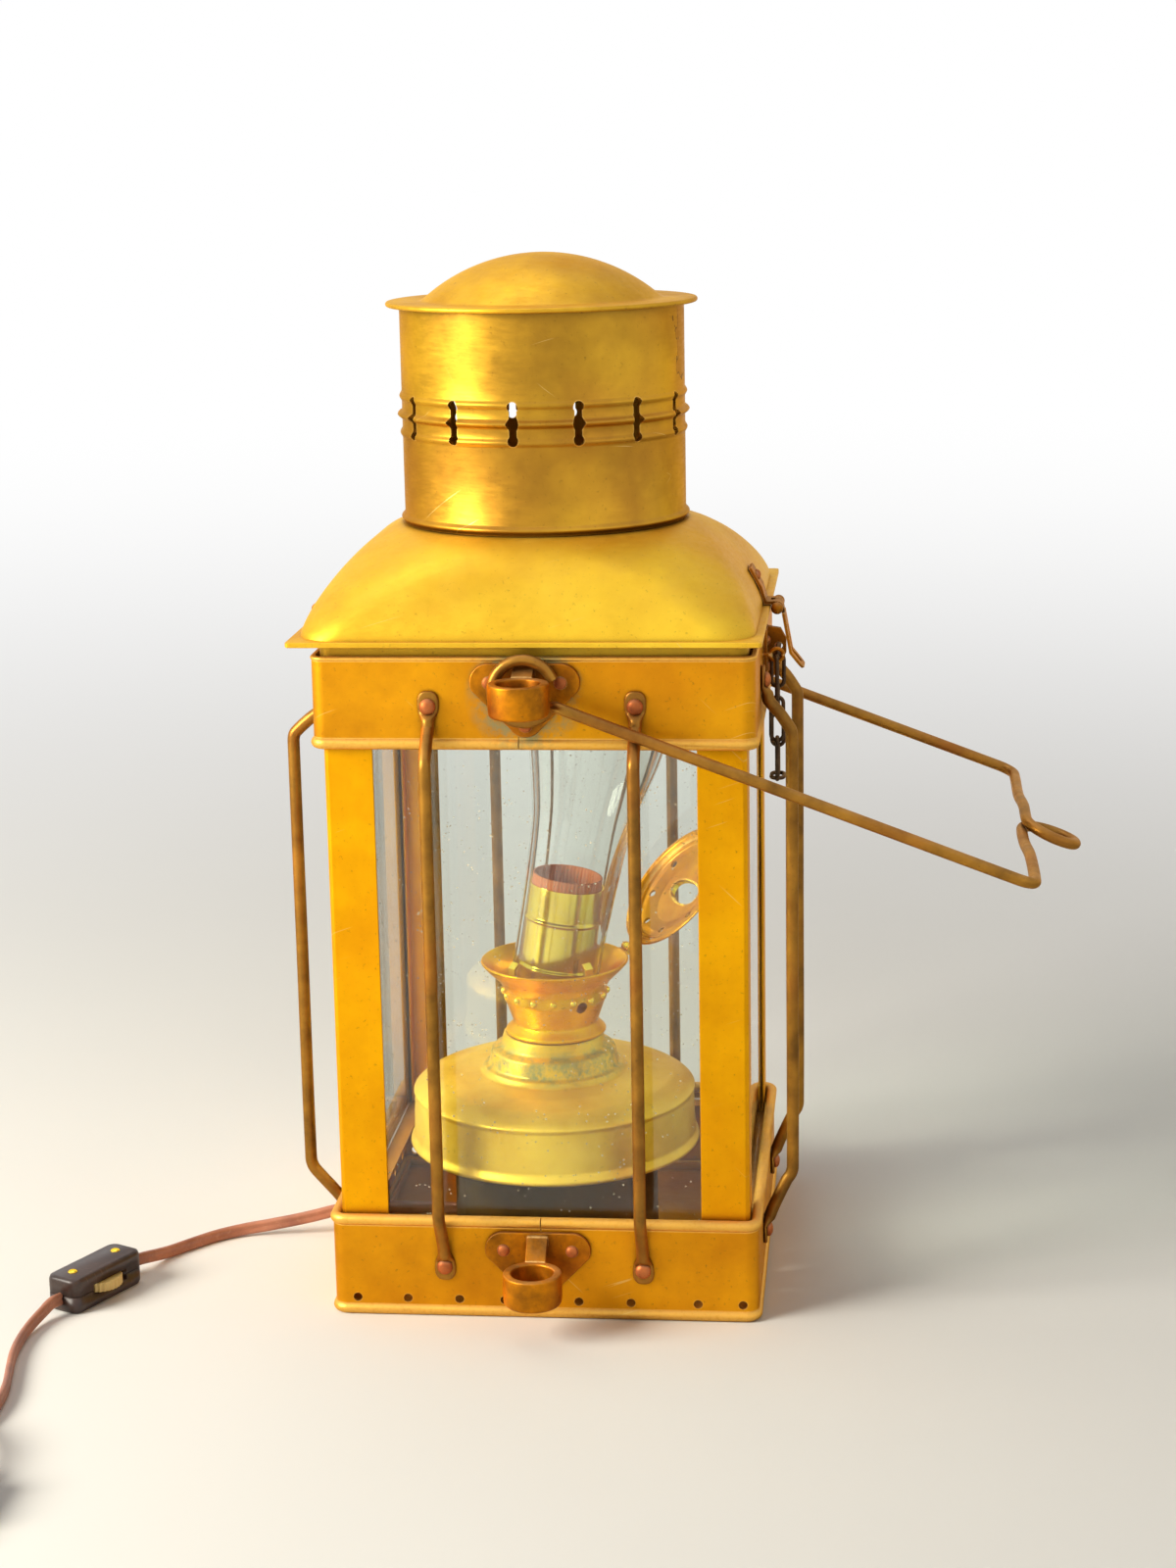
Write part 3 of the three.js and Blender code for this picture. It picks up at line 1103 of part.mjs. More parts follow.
basePan();
lowerBand();
glassLedge();
cornerPosts();
glassPanes();
upperBand();
guards();
brackets();
haspStaple();
hingeLeaf();
knucklePin('hinge_pin', knuckleX.left);
fontFoot();
fontBody();
burnerBody();
glassChimney();
lampSocket();
cordGrommet();
cordLead();
switchBody();
cordTail();
cordCoil();
cordTie();
plugAndBlades();
roofHood();
ventDrum();
ventCap();
roofStrap('hinge_strap', true);
roofStrap('hasp_strap', false);
knucklePin('hasp_pin', knuckleX.right);
haspLeaf();
bailRod();
pinChain();
burnerCrown();
switchWheel();

export default lantern;
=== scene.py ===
import json
import math
import bmesh
import bpy
from mathutils import Matrix, Vector
from mathutils.geometry import interpolate_bezier


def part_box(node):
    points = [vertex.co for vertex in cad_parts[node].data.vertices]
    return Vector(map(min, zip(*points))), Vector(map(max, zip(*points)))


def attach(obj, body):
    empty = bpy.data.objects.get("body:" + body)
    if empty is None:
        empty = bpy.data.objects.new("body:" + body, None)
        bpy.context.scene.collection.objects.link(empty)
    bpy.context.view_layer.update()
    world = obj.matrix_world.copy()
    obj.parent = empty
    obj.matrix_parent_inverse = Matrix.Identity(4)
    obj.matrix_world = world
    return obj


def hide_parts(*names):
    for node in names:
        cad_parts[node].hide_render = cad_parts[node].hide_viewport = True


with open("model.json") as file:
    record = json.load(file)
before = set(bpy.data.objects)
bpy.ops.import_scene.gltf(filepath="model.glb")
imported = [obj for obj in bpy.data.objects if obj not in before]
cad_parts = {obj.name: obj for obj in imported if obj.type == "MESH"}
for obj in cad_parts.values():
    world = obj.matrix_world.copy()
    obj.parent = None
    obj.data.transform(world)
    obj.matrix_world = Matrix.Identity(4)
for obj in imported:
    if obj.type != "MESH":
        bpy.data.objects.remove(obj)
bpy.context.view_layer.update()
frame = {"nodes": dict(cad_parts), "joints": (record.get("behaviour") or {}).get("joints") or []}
scene = bpy.context.scene
scene.view_settings.view_transform = "Standard"
print("frame loaded:", len(frame["nodes"]), "nodes")

# The view of the photograph, in millimetres and degrees
photoView = {"place": (128.15, -1117.82, 453.94), "yaw": -5.939, "pitch": 13.049, "roll": -1.073,
             "lens": 66.168}


def placed(name, data):
    piece = bpy.data.objects.new(name, data)
    scene.collection.objects.link(piece)
    return piece


def makeCamera(view):
    yaw, pitch, roll = (math.radians(view[name]) for name in ("yaw", "pitch", "roll"))
    ahead = Vector((math.sin(yaw) * math.cos(pitch), math.cos(yaw) * math.cos(pitch), -math.sin(pitch)))
    right = Vector((math.cos(yaw), -math.sin(yaw), 0))
    up = right.cross(ahead)
    right, up = right * math.cos(roll) + up * math.sin(roll), up * math.cos(roll) - right * math.sin(roll)
    camera = placed("photoCamera", bpy.data.cameras.new("photoCamera"))
    matrix = Matrix((right, up, -ahead)).transposed().to_4x4()
    matrix.translation = Vector(view["place"]) / 1000
    camera.matrix_world = matrix
    camera.data.sensor_width = 36
    camera.data.lens = view["lens"]
    camera.data.clip_start = 0.01
    scene.camera = camera


makeCamera(photoView)


# Shapes: points in millimetres and faces, which go to metres when they become an object

def turned(profile, sides):
    # a profile of radius and height turned round Z; one that starts and ends on the axis is open there
    points, rows, faces = [], [], []
    for r, z in profile:
        count = 1 if r < 1e-6 else sides
        rows.append(list(range(len(points), len(points) + count)))
        for k in range(count):
            turn = 2 * math.pi * k / sides
            points.append(Vector((r * math.cos(turn), r * math.sin(turn), z)))
    pairs = list(zip(rows, rows[1:]))
    if len(rows[0]) > 1:
        pairs.append((rows[-1], rows[0]))
    for low, high in pairs:
        for k in range(sides if len(low) + len(high) > 2 else 0):
            n = (k + 1) % sides
            if len(low) == 1:
                faces.append((low[0], high[n], high[k]))
            elif len(high) == 1:
                faces.append((low[k], low[n], high[0]))
            else:
                faces.append((low[k], low[n], high[n], high[k]))
    return points, faces


def softened(profile, radius, steps=3, closed=True):
    # rounds a profile's corners, so that they catch the light
    flat = [Vector((r, z)) for r, z in profile]
    out = []
    for i, here in enumerate(flat):
        if not closed and i in (0, len(flat) - 1):
            out.append(here)
            continue
        before, after = flat[i - 1], flat[(i + 1) % len(flat)]
        a, b = before - here, after - here
        reach = min(radius, a.length * 0.45, b.length * 0.45)
        if reach < 1e-4 or abs(a.normalized().dot(b.normalized())) > 0.999:
            out.append(here)
            continue
        start, end = here + a.normalized() * reach, here + b.normalized() * reach
        for k in range(steps + 1):
            t = k / steps
            out.append(start * (1 - t) ** 2 + here * 2 * t * (1 - t) + end * t ** 2)
    return [(p.x, p.y) for p in out]


def skinned(rings, looped=False):
    count = len(rings[0])
    points = [Vector(p) for ring in rings for p in ring]
    faces = []
    for i in range(len(rings) if looped else len(rings) - 1):
        n = (i + 1) % len(rings)
        for j in range(count):
            k = (j + 1) % count
            faces.append((i * count + j, i * count + k, n * count + k, n * count + j))
    if not looped:
        faces.append(tuple(reversed(range(count))))
        faces.append(tuple(range(len(points) - count, len(points))))
    return points, faces


def squareRing(half, corner, z, perCorner=8, x=0):
    ring = []
    for quarter in range(4):
        for k in range(perCorner + 1):
            turn = math.radians((quarter + k / perCorner) * 90)
            middle = math.radians((quarter + 0.5) * 90)
            centre = (half - corner) * math.sqrt(2)
            ring.append(Vector((x + centre * math.cos(middle) + corner * math.cos(turn),
                                centre * math.sin(middle) + corner * math.sin(turn), z)))
    return ring


def squareTube(profile, half, corner, perCorner=8):
    return skinned([squareRing(half + out, max(corner + out, corner / 4), z, perCorner)
                    for out, z in profile], True)


def slab(outline, low, high, place):
    # an outline of two coordinates, made thick along the third
    count = len(outline)
    points = [Vector(place(u, v, w)) for w in (low, high) for u, v in outline]
    faces = [tuple(reversed(range(count))), tuple(range(count, 2 * count))]
    faces += [(k, (k + 1) % count, count + (k + 1) % count, count + k) for k in range(count)]
    return points, faces


def strip(line, sheet):
    # a bent strip of sheet, its thickness to the left of the way it runs
    flat = [Vector(p) for p in line]
    edge = []
    for i, here in enumerate(flat):
        into = (here - flat[i - 1]).normalized() if i else (flat[1] - here).normalized()
        out = (flat[i + 1] - here).normalized() if i + 1 < len(flat) else into
        along = (into + out).normalized()
        reach = sheet / along.dot(into)
        edge.append((here.x - along.y * reach, here.y + along.x * reach))
    return [tuple(p) for p in flat] + edge[::-1]


def arcRun(x, y, radius, start, end, steps):
    turns = [math.radians(start + (end - start) * k / steps) for k in range(steps + 1)]
    return [(x + radius * math.cos(t), y + radius * math.sin(t)) for t in turns]


def together(*shapes):
    points, faces = [], []
    for morePoints, moreFaces in shapes:
        start = len(points)
        points += morePoints
        faces += [tuple(start + i for i in face) for face in moreFaces]
    return points, faces


def shift(x=0, y=0, z=0):
    return Matrix.Translation((x, y, z))


def spin(degrees, axis):
    return Matrix.Rotation(math.radians(degrees), 4, axis)


def pointing(degrees):
    # level and one long
    return Vector((math.cos(math.radians(degrees)), math.sin(math.radians(degrees)), 0))


def turnedBy(shape, matrix):
    points, faces = shape
    return [matrix @ Vector(p) for p in points], faces


def movedBy(shape, x=0, y=0, z=0):
    return turnedBy(shape, shift(x, y, z))


def faced(shape, face):
    # the four faces are turned from the front
    turns = {"front": 0, "right": 90, "back": 180, "left": 270}
    return turnedBy(shape, spin(turns[face], "Z"))


def smoothLine(points, steps=6):
    # a curve through every point
    line = [Vector(p) for p in points]
    out = []
    for i in range(len(line) - 1):
        a, b = line[i], line[i + 1]
        before, after = line[max(i - 1, 0)], line[min(i + 2, len(line) - 1)]
        span = (b - a).length
        inward = (b - before).normalized() * span / 3
        outward = (after - a).normalized() * span / 3
        out += interpolate_bezier(a, a + inward, b - outward, b, steps + 1)[:-1]
    return [Vector(p) for p in out] + [line[-1]]


def shaped(name, shape, finish=None, sharp=38):
    mesh = bpy.data.meshes.new(name)
    mesh.from_pydata([Vector(p) / 1000 for p in shape[0]], [], shape[1])
    work = bmesh.new()
    work.from_mesh(mesh)
    bmesh.ops.remove_doubles(work, verts=work.verts, dist=1e-6)
    bmesh.ops.recalc_face_normals(work, faces=work.faces)
    work.to_mesh(mesh)
    work.free()
    mesh.shade_smooth()
    mesh.set_sharp_from_angle(angle=math.radians(sharp))
    if finish:
        mesh.materials.append(finish)
    return placed(name, mesh)


def edged(piece, width, angle=40):
    # a small round on every sharp edge, with the flat faces kept flat
    bevel = piece.modifiers.new("edge", "BEVEL")
    bevel.width = width / 1000
    bevel.segments = 2
    bevel.limit_method = "ANGLE"
    bevel.angle_limit = math.radians(angle)
    bevel.harden_normals = True
    return realised(piece)


def realised(piece, sharp=None):
    # turns what the modifiers make into a plain mesh
    mesh = bpy.data.meshes.new_from_object(piece.evaluated_get(bpy.context.evaluated_depsgraph_get()))
    piece.modifiers.clear()
    piece.data = mesh
    if sharp:
        mesh.shade_smooth()
        mesh.set_sharp_from_angle(angle=math.radians(sharp))
    return piece


def refined(node, name, finish, width=0.3, angle=40):
    # a copy of a solid with merged corners, whole flat faces and rounded edges
    mesh = frame["nodes"][node].data.copy()
    mesh.materials.clear()
    mesh.materials.append(finish)
    work = bmesh.new()
    work.from_mesh(mesh)
    bmesh.ops.remove_doubles(work, verts=work.verts, dist=1e-6)
    bmesh.ops.dissolve_limit(work, angle_limit=math.radians(1), verts=work.verts, edges=work.edges)
    for face in work.faces:
        face.material_index = 0
    work.to_mesh(mesh)
    work.free()
    for attribute in [a.name for a in mesh.attributes if a.name.startswith("custom_normal")]:
        mesh.attributes.remove(mesh.attributes[attribute])
    mesh.shade_smooth()
    mesh.set_sharp_from_angle(angle=math.radians(angle))
    return edged(placed(name, mesh), width, angle)


def settle(piece, body, slot, *nodes):
    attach(piece, body)
    if nodes:
        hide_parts(*nodes)
    return piece


def addNode(tree, kind, inputs=None, **settings):
    node = tree.nodes.new(kind)
    for name, value in settings.items():
        setattr(node, name, value)
    for name, value in (inputs or {}).items():
        if isinstance(value, bpy.types.NodeSocket):
            tree.links.new(value, node.inputs[name])
        else:
            node.inputs[name].default_value = value
    return node


# Geometry Nodes trees for what repeats or follows a path

def newTree(name, sockets):
    tree = bpy.data.node_groups.new(name, "GeometryNodeTree")
    tree.interface.new_socket("Geometry", in_out="INPUT", socket_type="NodeSocketGeometry")
    for label, kind in sockets:
        tree.interface.new_socket(label, in_out="INPUT", socket_type=kind)
    tree.interface.new_socket("Geometry", in_out="OUTPUT", socket_type="NodeSocketGeometry")
    return tree, tree.nodes.new("NodeGroupInput").outputs, tree.nodes.new("NodeGroupOutput").inputs


def ended(tree, geometry, finish, made):
    # whole geometry with its finish, sent to the output
    whole = addNode(tree, "GeometryNodeRealizeInstances", {"Geometry": geometry})
    done = addNode(tree, "GeometryNodeSetMaterial", {"Geometry": whole.outputs[0], "Material": finish})
    tree.links.new(done.outputs[0], made[0])
    return tree


def seatedTree():
    # one small piece on every point, stood along the point's own direction
    tree, given, made = newTree("seated", [("Piece", "NodeSocketObject"), ("Finish", "NodeSocketMaterial")])
    named = {label: addNode(tree, "GeometryNodeInputNamedAttribute", {"Name": label}, data_type=kind)
             for label, kind in (("out", "FLOAT_VECTOR"), ("side", "FLOAT_VECTOR"), ("size", "FLOAT"))}
    turn = addNode(tree, "FunctionNodeAxesToRotation", {"Primary Axis": named["out"].outputs["Attribute"],
                   "Secondary Axis": named["side"].outputs["Attribute"]}, primary_axis="Z",
                   secondary_axis="X")
    tool = addNode(tree, "GeometryNodeObjectInfo", {"Object": given["Piece"]})
    seats = addNode(tree, "GeometryNodeInstanceOnPoints", {"Points": given["Geometry"],
                    "Instance": tool.outputs["Geometry"], "Rotation": turn.outputs[0],
                    "Scale": named["size"].outputs["Attribute"]})
    return ended(tree, seats.outputs[0], given["Finish"], made)


def piercedTree(seated):
    # holes cut where the tool is seated
    tree, given, made = newTree("pierced", [("Piece", "NodeSocketObject"), ("Places", "NodeSocketObject"),
                                            ("Finish", "NodeSocketMaterial")])
    places = addNode(tree, "GeometryNodeObjectInfo", {"Object": given["Places"]})
    tools = addNode(tree, "GeometryNodeGroup", {"Geometry": places.outputs["Geometry"],
                    "Piece": given["Piece"], "Finish": given["Finish"]}, node_tree=seated)
    holes = addNode(tree, "GeometryNodeMeshBoolean", {"Mesh 1": given["Geometry"],
                    "Mesh 2": tools.outputs[0]}, operation="DIFFERENCE", solver="EXACT")
    return ended(tree, holes.outputs[0], given["Finish"], made)


def rodTree():
    # a round rod along a line of edges
    tree, given, made = newTree("rod", [("Radius", "NodeSocketFloat"), ("Sides", "NodeSocketInt"),
                                        ("Finish", "NodeSocketMaterial")])
    line = addNode(tree, "GeometryNodeMeshToCurve", {"Mesh": given["Geometry"]})
    ring = addNode(tree, "GeometryNodeCurvePrimitiveCircle",
                   {"Resolution": given["Sides"], "Radius": given["Radius"]})
    rod = addNode(tree, "GeometryNodeCurveToMesh",
                  {"Curve": line.outputs[0], "Profile Curve": ring.outputs[0], "Fill Caps": True})
    return ended(tree, rod.outputs[0], given["Finish"], made)


seated = seatedTree()
pierced = piercedTree(seated)
rod = rodTree()
tools = []  # shapes that only the trees use, removed at the end


def grown(piece, tree, sharp=38, **values):
    modifier = piece.modifiers.new("grown", "NODES")
    modifier.node_group = tree
    for item in tree.interface.items_tree:
        if item.in_out == "INPUT" and item.name in values:
            modifier[item.identifier] = values[item.name]
    return realised(piece, sharp)


def seatPoints(name, seats):
    # each seat is a point, the way out, the way along and a size
    mesh = bpy.data.meshes.new(name)
    mesh.from_pydata([Vector(seat[0]) / 1000 for seat in seats], [], [])
    for k, label in ((1, "out"), (2, "side")):
        values = [x for seat in seats for x in Vector(seat[k]).normalized()]
        mesh.attributes.new(label, "FLOAT_VECTOR", "POINT").data.foreach_set("vector", values)
    mesh.attributes.new("size", "FLOAT", "POINT").data.foreach_set("value", [seat[3] for seat in seats])
    return placed(name, mesh)


def seatedPieces(name, tool, seats, finish, body, slot):
    piece = seatPoints(name, seats)
    grown(piece, seated, Piece=tool, Finish=finish)
    return settle(piece, body, slot)


def cutAt(piece, tool, seats, finish, sharp=38):
    places = seatPoints("holePlaces", seats)
    grown(piece, pierced, sharp, Piece=tool, Places=places, Finish=finish)
    bpy.data.objects.remove(places)
    return piece


def makeTool(name, shape):
    tool = shaped(name, shape)
    tools.append(tool)
    return tool


def makeDrill(name, radius, reach, sides):
    return makeTool(name, turned([(0, -reach), (radius, -reach), (radius, reach), (0, reach)], sides))


def rodAlong(name, lines, radius, finish, sides=16):
    points, edges = [], []
    for line in lines:
        edges += [(len(points) + k, len(points) + k + 1) for k in range(len(line) - 1)]
        points += [Vector(p) / 1000 for p in line]
    mesh = bpy.data.meshes.new(name)
    mesh.from_pydata(points, edges, [])
    return grown(placed(name, mesh), rod, 40, Radius=radius / 1000, Sides=sides, Finish=finish)


# Finishes

def tone(r, g, b):
    return tuple(((c / 255 + 0.055) / 1.055) ** 2.4 if c > 10 else c / 255 / 12.92
                 for c in (r, g, b)) + (1,)


def newMaterial(name):
    material = bpy.data.materials.new(name)
    material.use_nodes = True
    tree = material.node_tree
    place = addNode(tree, "ShaderNodeTexCoord").outputs["Object"]
    return material, tree, tree.nodes["Principled BSDF"], place


def noiseAt(tree, vector, scale, detail=3, roughness=0.55, stretch=None):
    if stretch:
        vector = addNode(tree, "ShaderNodeMapping", {"Vector": vector, "Scale": stretch}).outputs[0]
    noise = addNode(tree, "ShaderNodeTexNoise", {"Vector": vector, "Scale": scale, "Detail": detail,
                    "Roughness": roughness})
    return noise.outputs[0]


def ranged(tree, value, low, high, toLow=0.0, toHigh=1.0, **settings):
    return addNode(tree, "ShaderNodeMapRange",
                   {"Value": value, "From Min": low, "From Max": high, "To Min": toLow, "To Max": toHigh},
                   **settings).outputs[0]


def maths(tree, a, b, operation="MULTIPLY"):
    return addNode(tree, "ShaderNodeMath", {0: a, 1: b}, operation=operation, use_clamp=True).outputs[0]


def seenRays(tree):
    # what the camera sees by itself, in gloss and through glass
    rays = addNode(tree, "ShaderNodeLightPath").outputs
    seen = maths(tree, rays["Is Camera Ray"], rays["Is Glossy Ray"], "ADD")
    return maths(tree, seen, rays["Is Transmission Ray"], "ADD")


def blended(tree, share, a, b):
    return addNode(tree, "ShaderNodeMix", {0: share, 6: a, 7: b}, data_type="RGBA").outputs[2]


def distanceFrom(tree, vector, centre, flat=1):
    # distance from a place in millimetres, with heights counted more or less than the rest
    off = addNode(tree, "ShaderNodeVectorMath", {0: vector, 1: [x / 1000 for x in centre]},
                  operation="SUBTRACT").outputs[0]
    off = addNode(tree, "ShaderNodeVectorMath", {0: off, 1: (1, 1, flat)}, operation="MULTIPLY").outputs[0]
    return addNode(tree, "ShaderNodeVectorMath", {0: off}, operation="LENGTH").outputs["Value"]


def brassFinish(name, look):
    # patches of lighter and browner metal, fine grain, dark specks, painted shade in hollows, pale edges
    # that are partly wear and partly painted highlight, and dust on what faces up
    material, tree, surface, place = newMaterial(name)
    patches = noiseAt(tree, place, look.get("patch", 28), 5, 0.6)
    warm = noiseAt(tree, place, look.get("patch", 28) * 0.45, 3, 0.5)
    grain = noiseAt(tree, place, 1, 4, 0.6, look.get("grain", (260, 260, 900)))
    specks = noiseAt(tree, place, look.get("specks", 620), 3, 0.7)
    colour = blended(tree, ranged(tree, patches, 0.32, 0.68), tone(*look["shade"]), tone(*look["light"]))
    colour = blended(tree, ranged(tree, warm, 0.5, 0.72, 0, look.get("warmth", 0.4)), colour,
                     tone(*look["warm"]))
    colour = blended(tree, ranged(tree, specks, 0.62, 0.78, 0, look.get("spotted", 0.55)), colour,
                     tone(*look["spot"]))
    # painted shade: the colour is darkened towards a dark brown where ambient occlusion finds hollows,
    # creases and nearby parts, together with grime
    hollow = addNode(tree, "ShaderNodeAmbientOcclusion", {"Distance": look.get("hollow", 0.006)}, samples=6,
                     only_local=look.get("alone", False)).outputs["AO"]
    hollowShadeAndGrime = maths(tree, ranged(tree, hollow, 0.85, 0.3), ranged(tree, patches, 0.3, 0.6, 0.4, 0.85))
    colour = blended(tree, hollowShadeAndGrime, colour, tone(62, 42, 24))
    # paler sharp outer edges: rub wear, and a painted highlight that stands in for the glint along edges
    corner = addNode(tree, "ShaderNodeAmbientOcclusion", {"Distance": 0.0006}, samples=6,
                     inside=True).outputs["AO"]
    edgeWearAndGlint = maths(tree, ranged(tree, corner, 0.82, 0.45), ranged(tree, specks, 0.3, 0.55, 0.35, 1))
    colour = blended(tree, maths(tree, edgeWearAndGlint, look.get("edgeWearAndGlint", 0.7)), colour,
                     tone(*look.get("edge", (244, 196, 104))))
    if "mended" in look:
        # an old patch with a dark torn outline
        centre, reach = look["mended"]
        wavy = ranged(tree, noiseAt(tree, place, 90, 3, 0.6), 0.3, 0.7, -0.004, 0.004)
        away = maths(tree, distanceFrom(tree, place, centre, 0.8), wavy, "ADD")
        outline = addNode(tree, "ShaderNodeMath", {0: away, 1: reach / 1000, 2: 0.0003},
                          operation="COMPARE").outputs[0]
        colour = blended(tree, ranged(tree, away, reach / 1000, reach / 1000 - 0.0005, 0, 0.5), colour,
                         tone(150, 100, 56))
        colour = blended(tree, maths(tree, outline, 0.8), colour, tone(66, 42, 24))
    for middle, half in look.get("rolled", ()):
        # rolled edges are painted paler than the sheet beside them: rub wear, and a painted highlight for
        # the glint along the beads
        height = addNode(tree, "ShaderNodeSeparateXYZ", {0: place}).outputs["Z"]
        off = addNode(tree, "ShaderNodeMath", {0: height, 1: middle / 1000, 2: half / 1000},
                      operation="COMPARE").outputs[0]
        wornAndGlinting = maths(tree, maths(tree, off, ranged(tree, specks, 0.25, 0.5, 0.5, 1)), 0.55)
        colour = blended(tree, wornAndGlinting, colour, tone(*look.get("edge", (244, 196, 104))))
    metal = None
    if look.get("dust", 0):
        facing = addNode(tree, "ShaderNodeSeparateXYZ",
                         {0: addNode(tree, "ShaderNodeNewGeometry").outputs["Normal"]})
        lying = ranged(tree, facing.outputs["Z"], 0.35, 0.95)
        uneven = ranged(tree, noiseAt(tree, place, 60, 5, 0.7), 0.34, 0.66, 0.15, 1)
        dust = maths(tree, maths(tree, lying, uneven), look["dust"])
        colour = blended(tree, dust, colour, tone(*look.get("dustTone", (204, 160, 108))))
        metal = ranged(tree, dust, 0, 1, look.get("metallic", 0.72), 0.05)
    if "green" in look:
        # a bloom of verdigris round one place
        centre, reach, strength = look["green"]
        near = ranged(tree, distanceFrom(tree, place, centre, look.get("greenFlat", 1)), reach / 1000,
                      reach / 1400)
        uneven = ranged(tree, noiseAt(tree, place, 160, 5, 0.7), 0.42, 0.6)
        colour = blended(tree, maths(tree, maths(tree, near, uneven), strength), colour,
                         tone(104, 140, 112))
    if "scratched" in look:
        # a few fine bright scratches in two directions
        for k, turn in enumerate((0.5, -0.9)):
            crossed = addNode(tree, "ShaderNodeMapping",
                              {"Vector": place, "Rotation": (turn, turn * 0.6, turn)})
            marks = noiseAt(tree, crossed.outputs[0], 1, 1, 0.3, (24, 24, 1500))
            spread = noiseAt(tree, place, 34 + 9 * k, 2, 0.5)
            thin = maths(tree, ranged(tree, marks, 0.755, 0.775), ranged(tree, spread, 0.55, 0.62))
            colour = blended(tree, maths(tree, thin, look["scratched"]), colour, tone(246, 214, 132))
    tree.links.new(colour, surface.inputs["Base Color"])
    surface.inputs["Specular Tint"].default_value = tone(255, 206, 130)
    if metal:
        tree.links.new(metal, surface.inputs["Metallic"])
    else:
        surface.inputs["Metallic"].default_value = look.get("metallic", 0.72)
    smooth, dull = look.get("rough", (0.32, 0.5))
    rough = ranged(tree, grain, 0.3, 0.7, smooth, dull)
    if metal:
        rough = maths(tree, rough, maths(tree, dust, 0.45), "ADD")
    tree.links.new(rough, surface.inputs["Roughness"])
    dents = noiseAt(tree, place, look.get("dents", 45), 2, 0.4)
    uneven = addNode(tree, "ShaderNodeBump", {"Height": dents, "Strength": 1.0,
                     "Distance": look.get("dentDepth", 0.0006)})
    bump = addNode(tree, "ShaderNodeBump",
                   {"Height": grain, "Strength": 0.5, "Distance": look.get("grainDepth", 0.00006),
                    "Normal": uneven.outputs[0]})
    tree.links.new(bump.outputs[0], surface.inputs["Normal"])
    return material


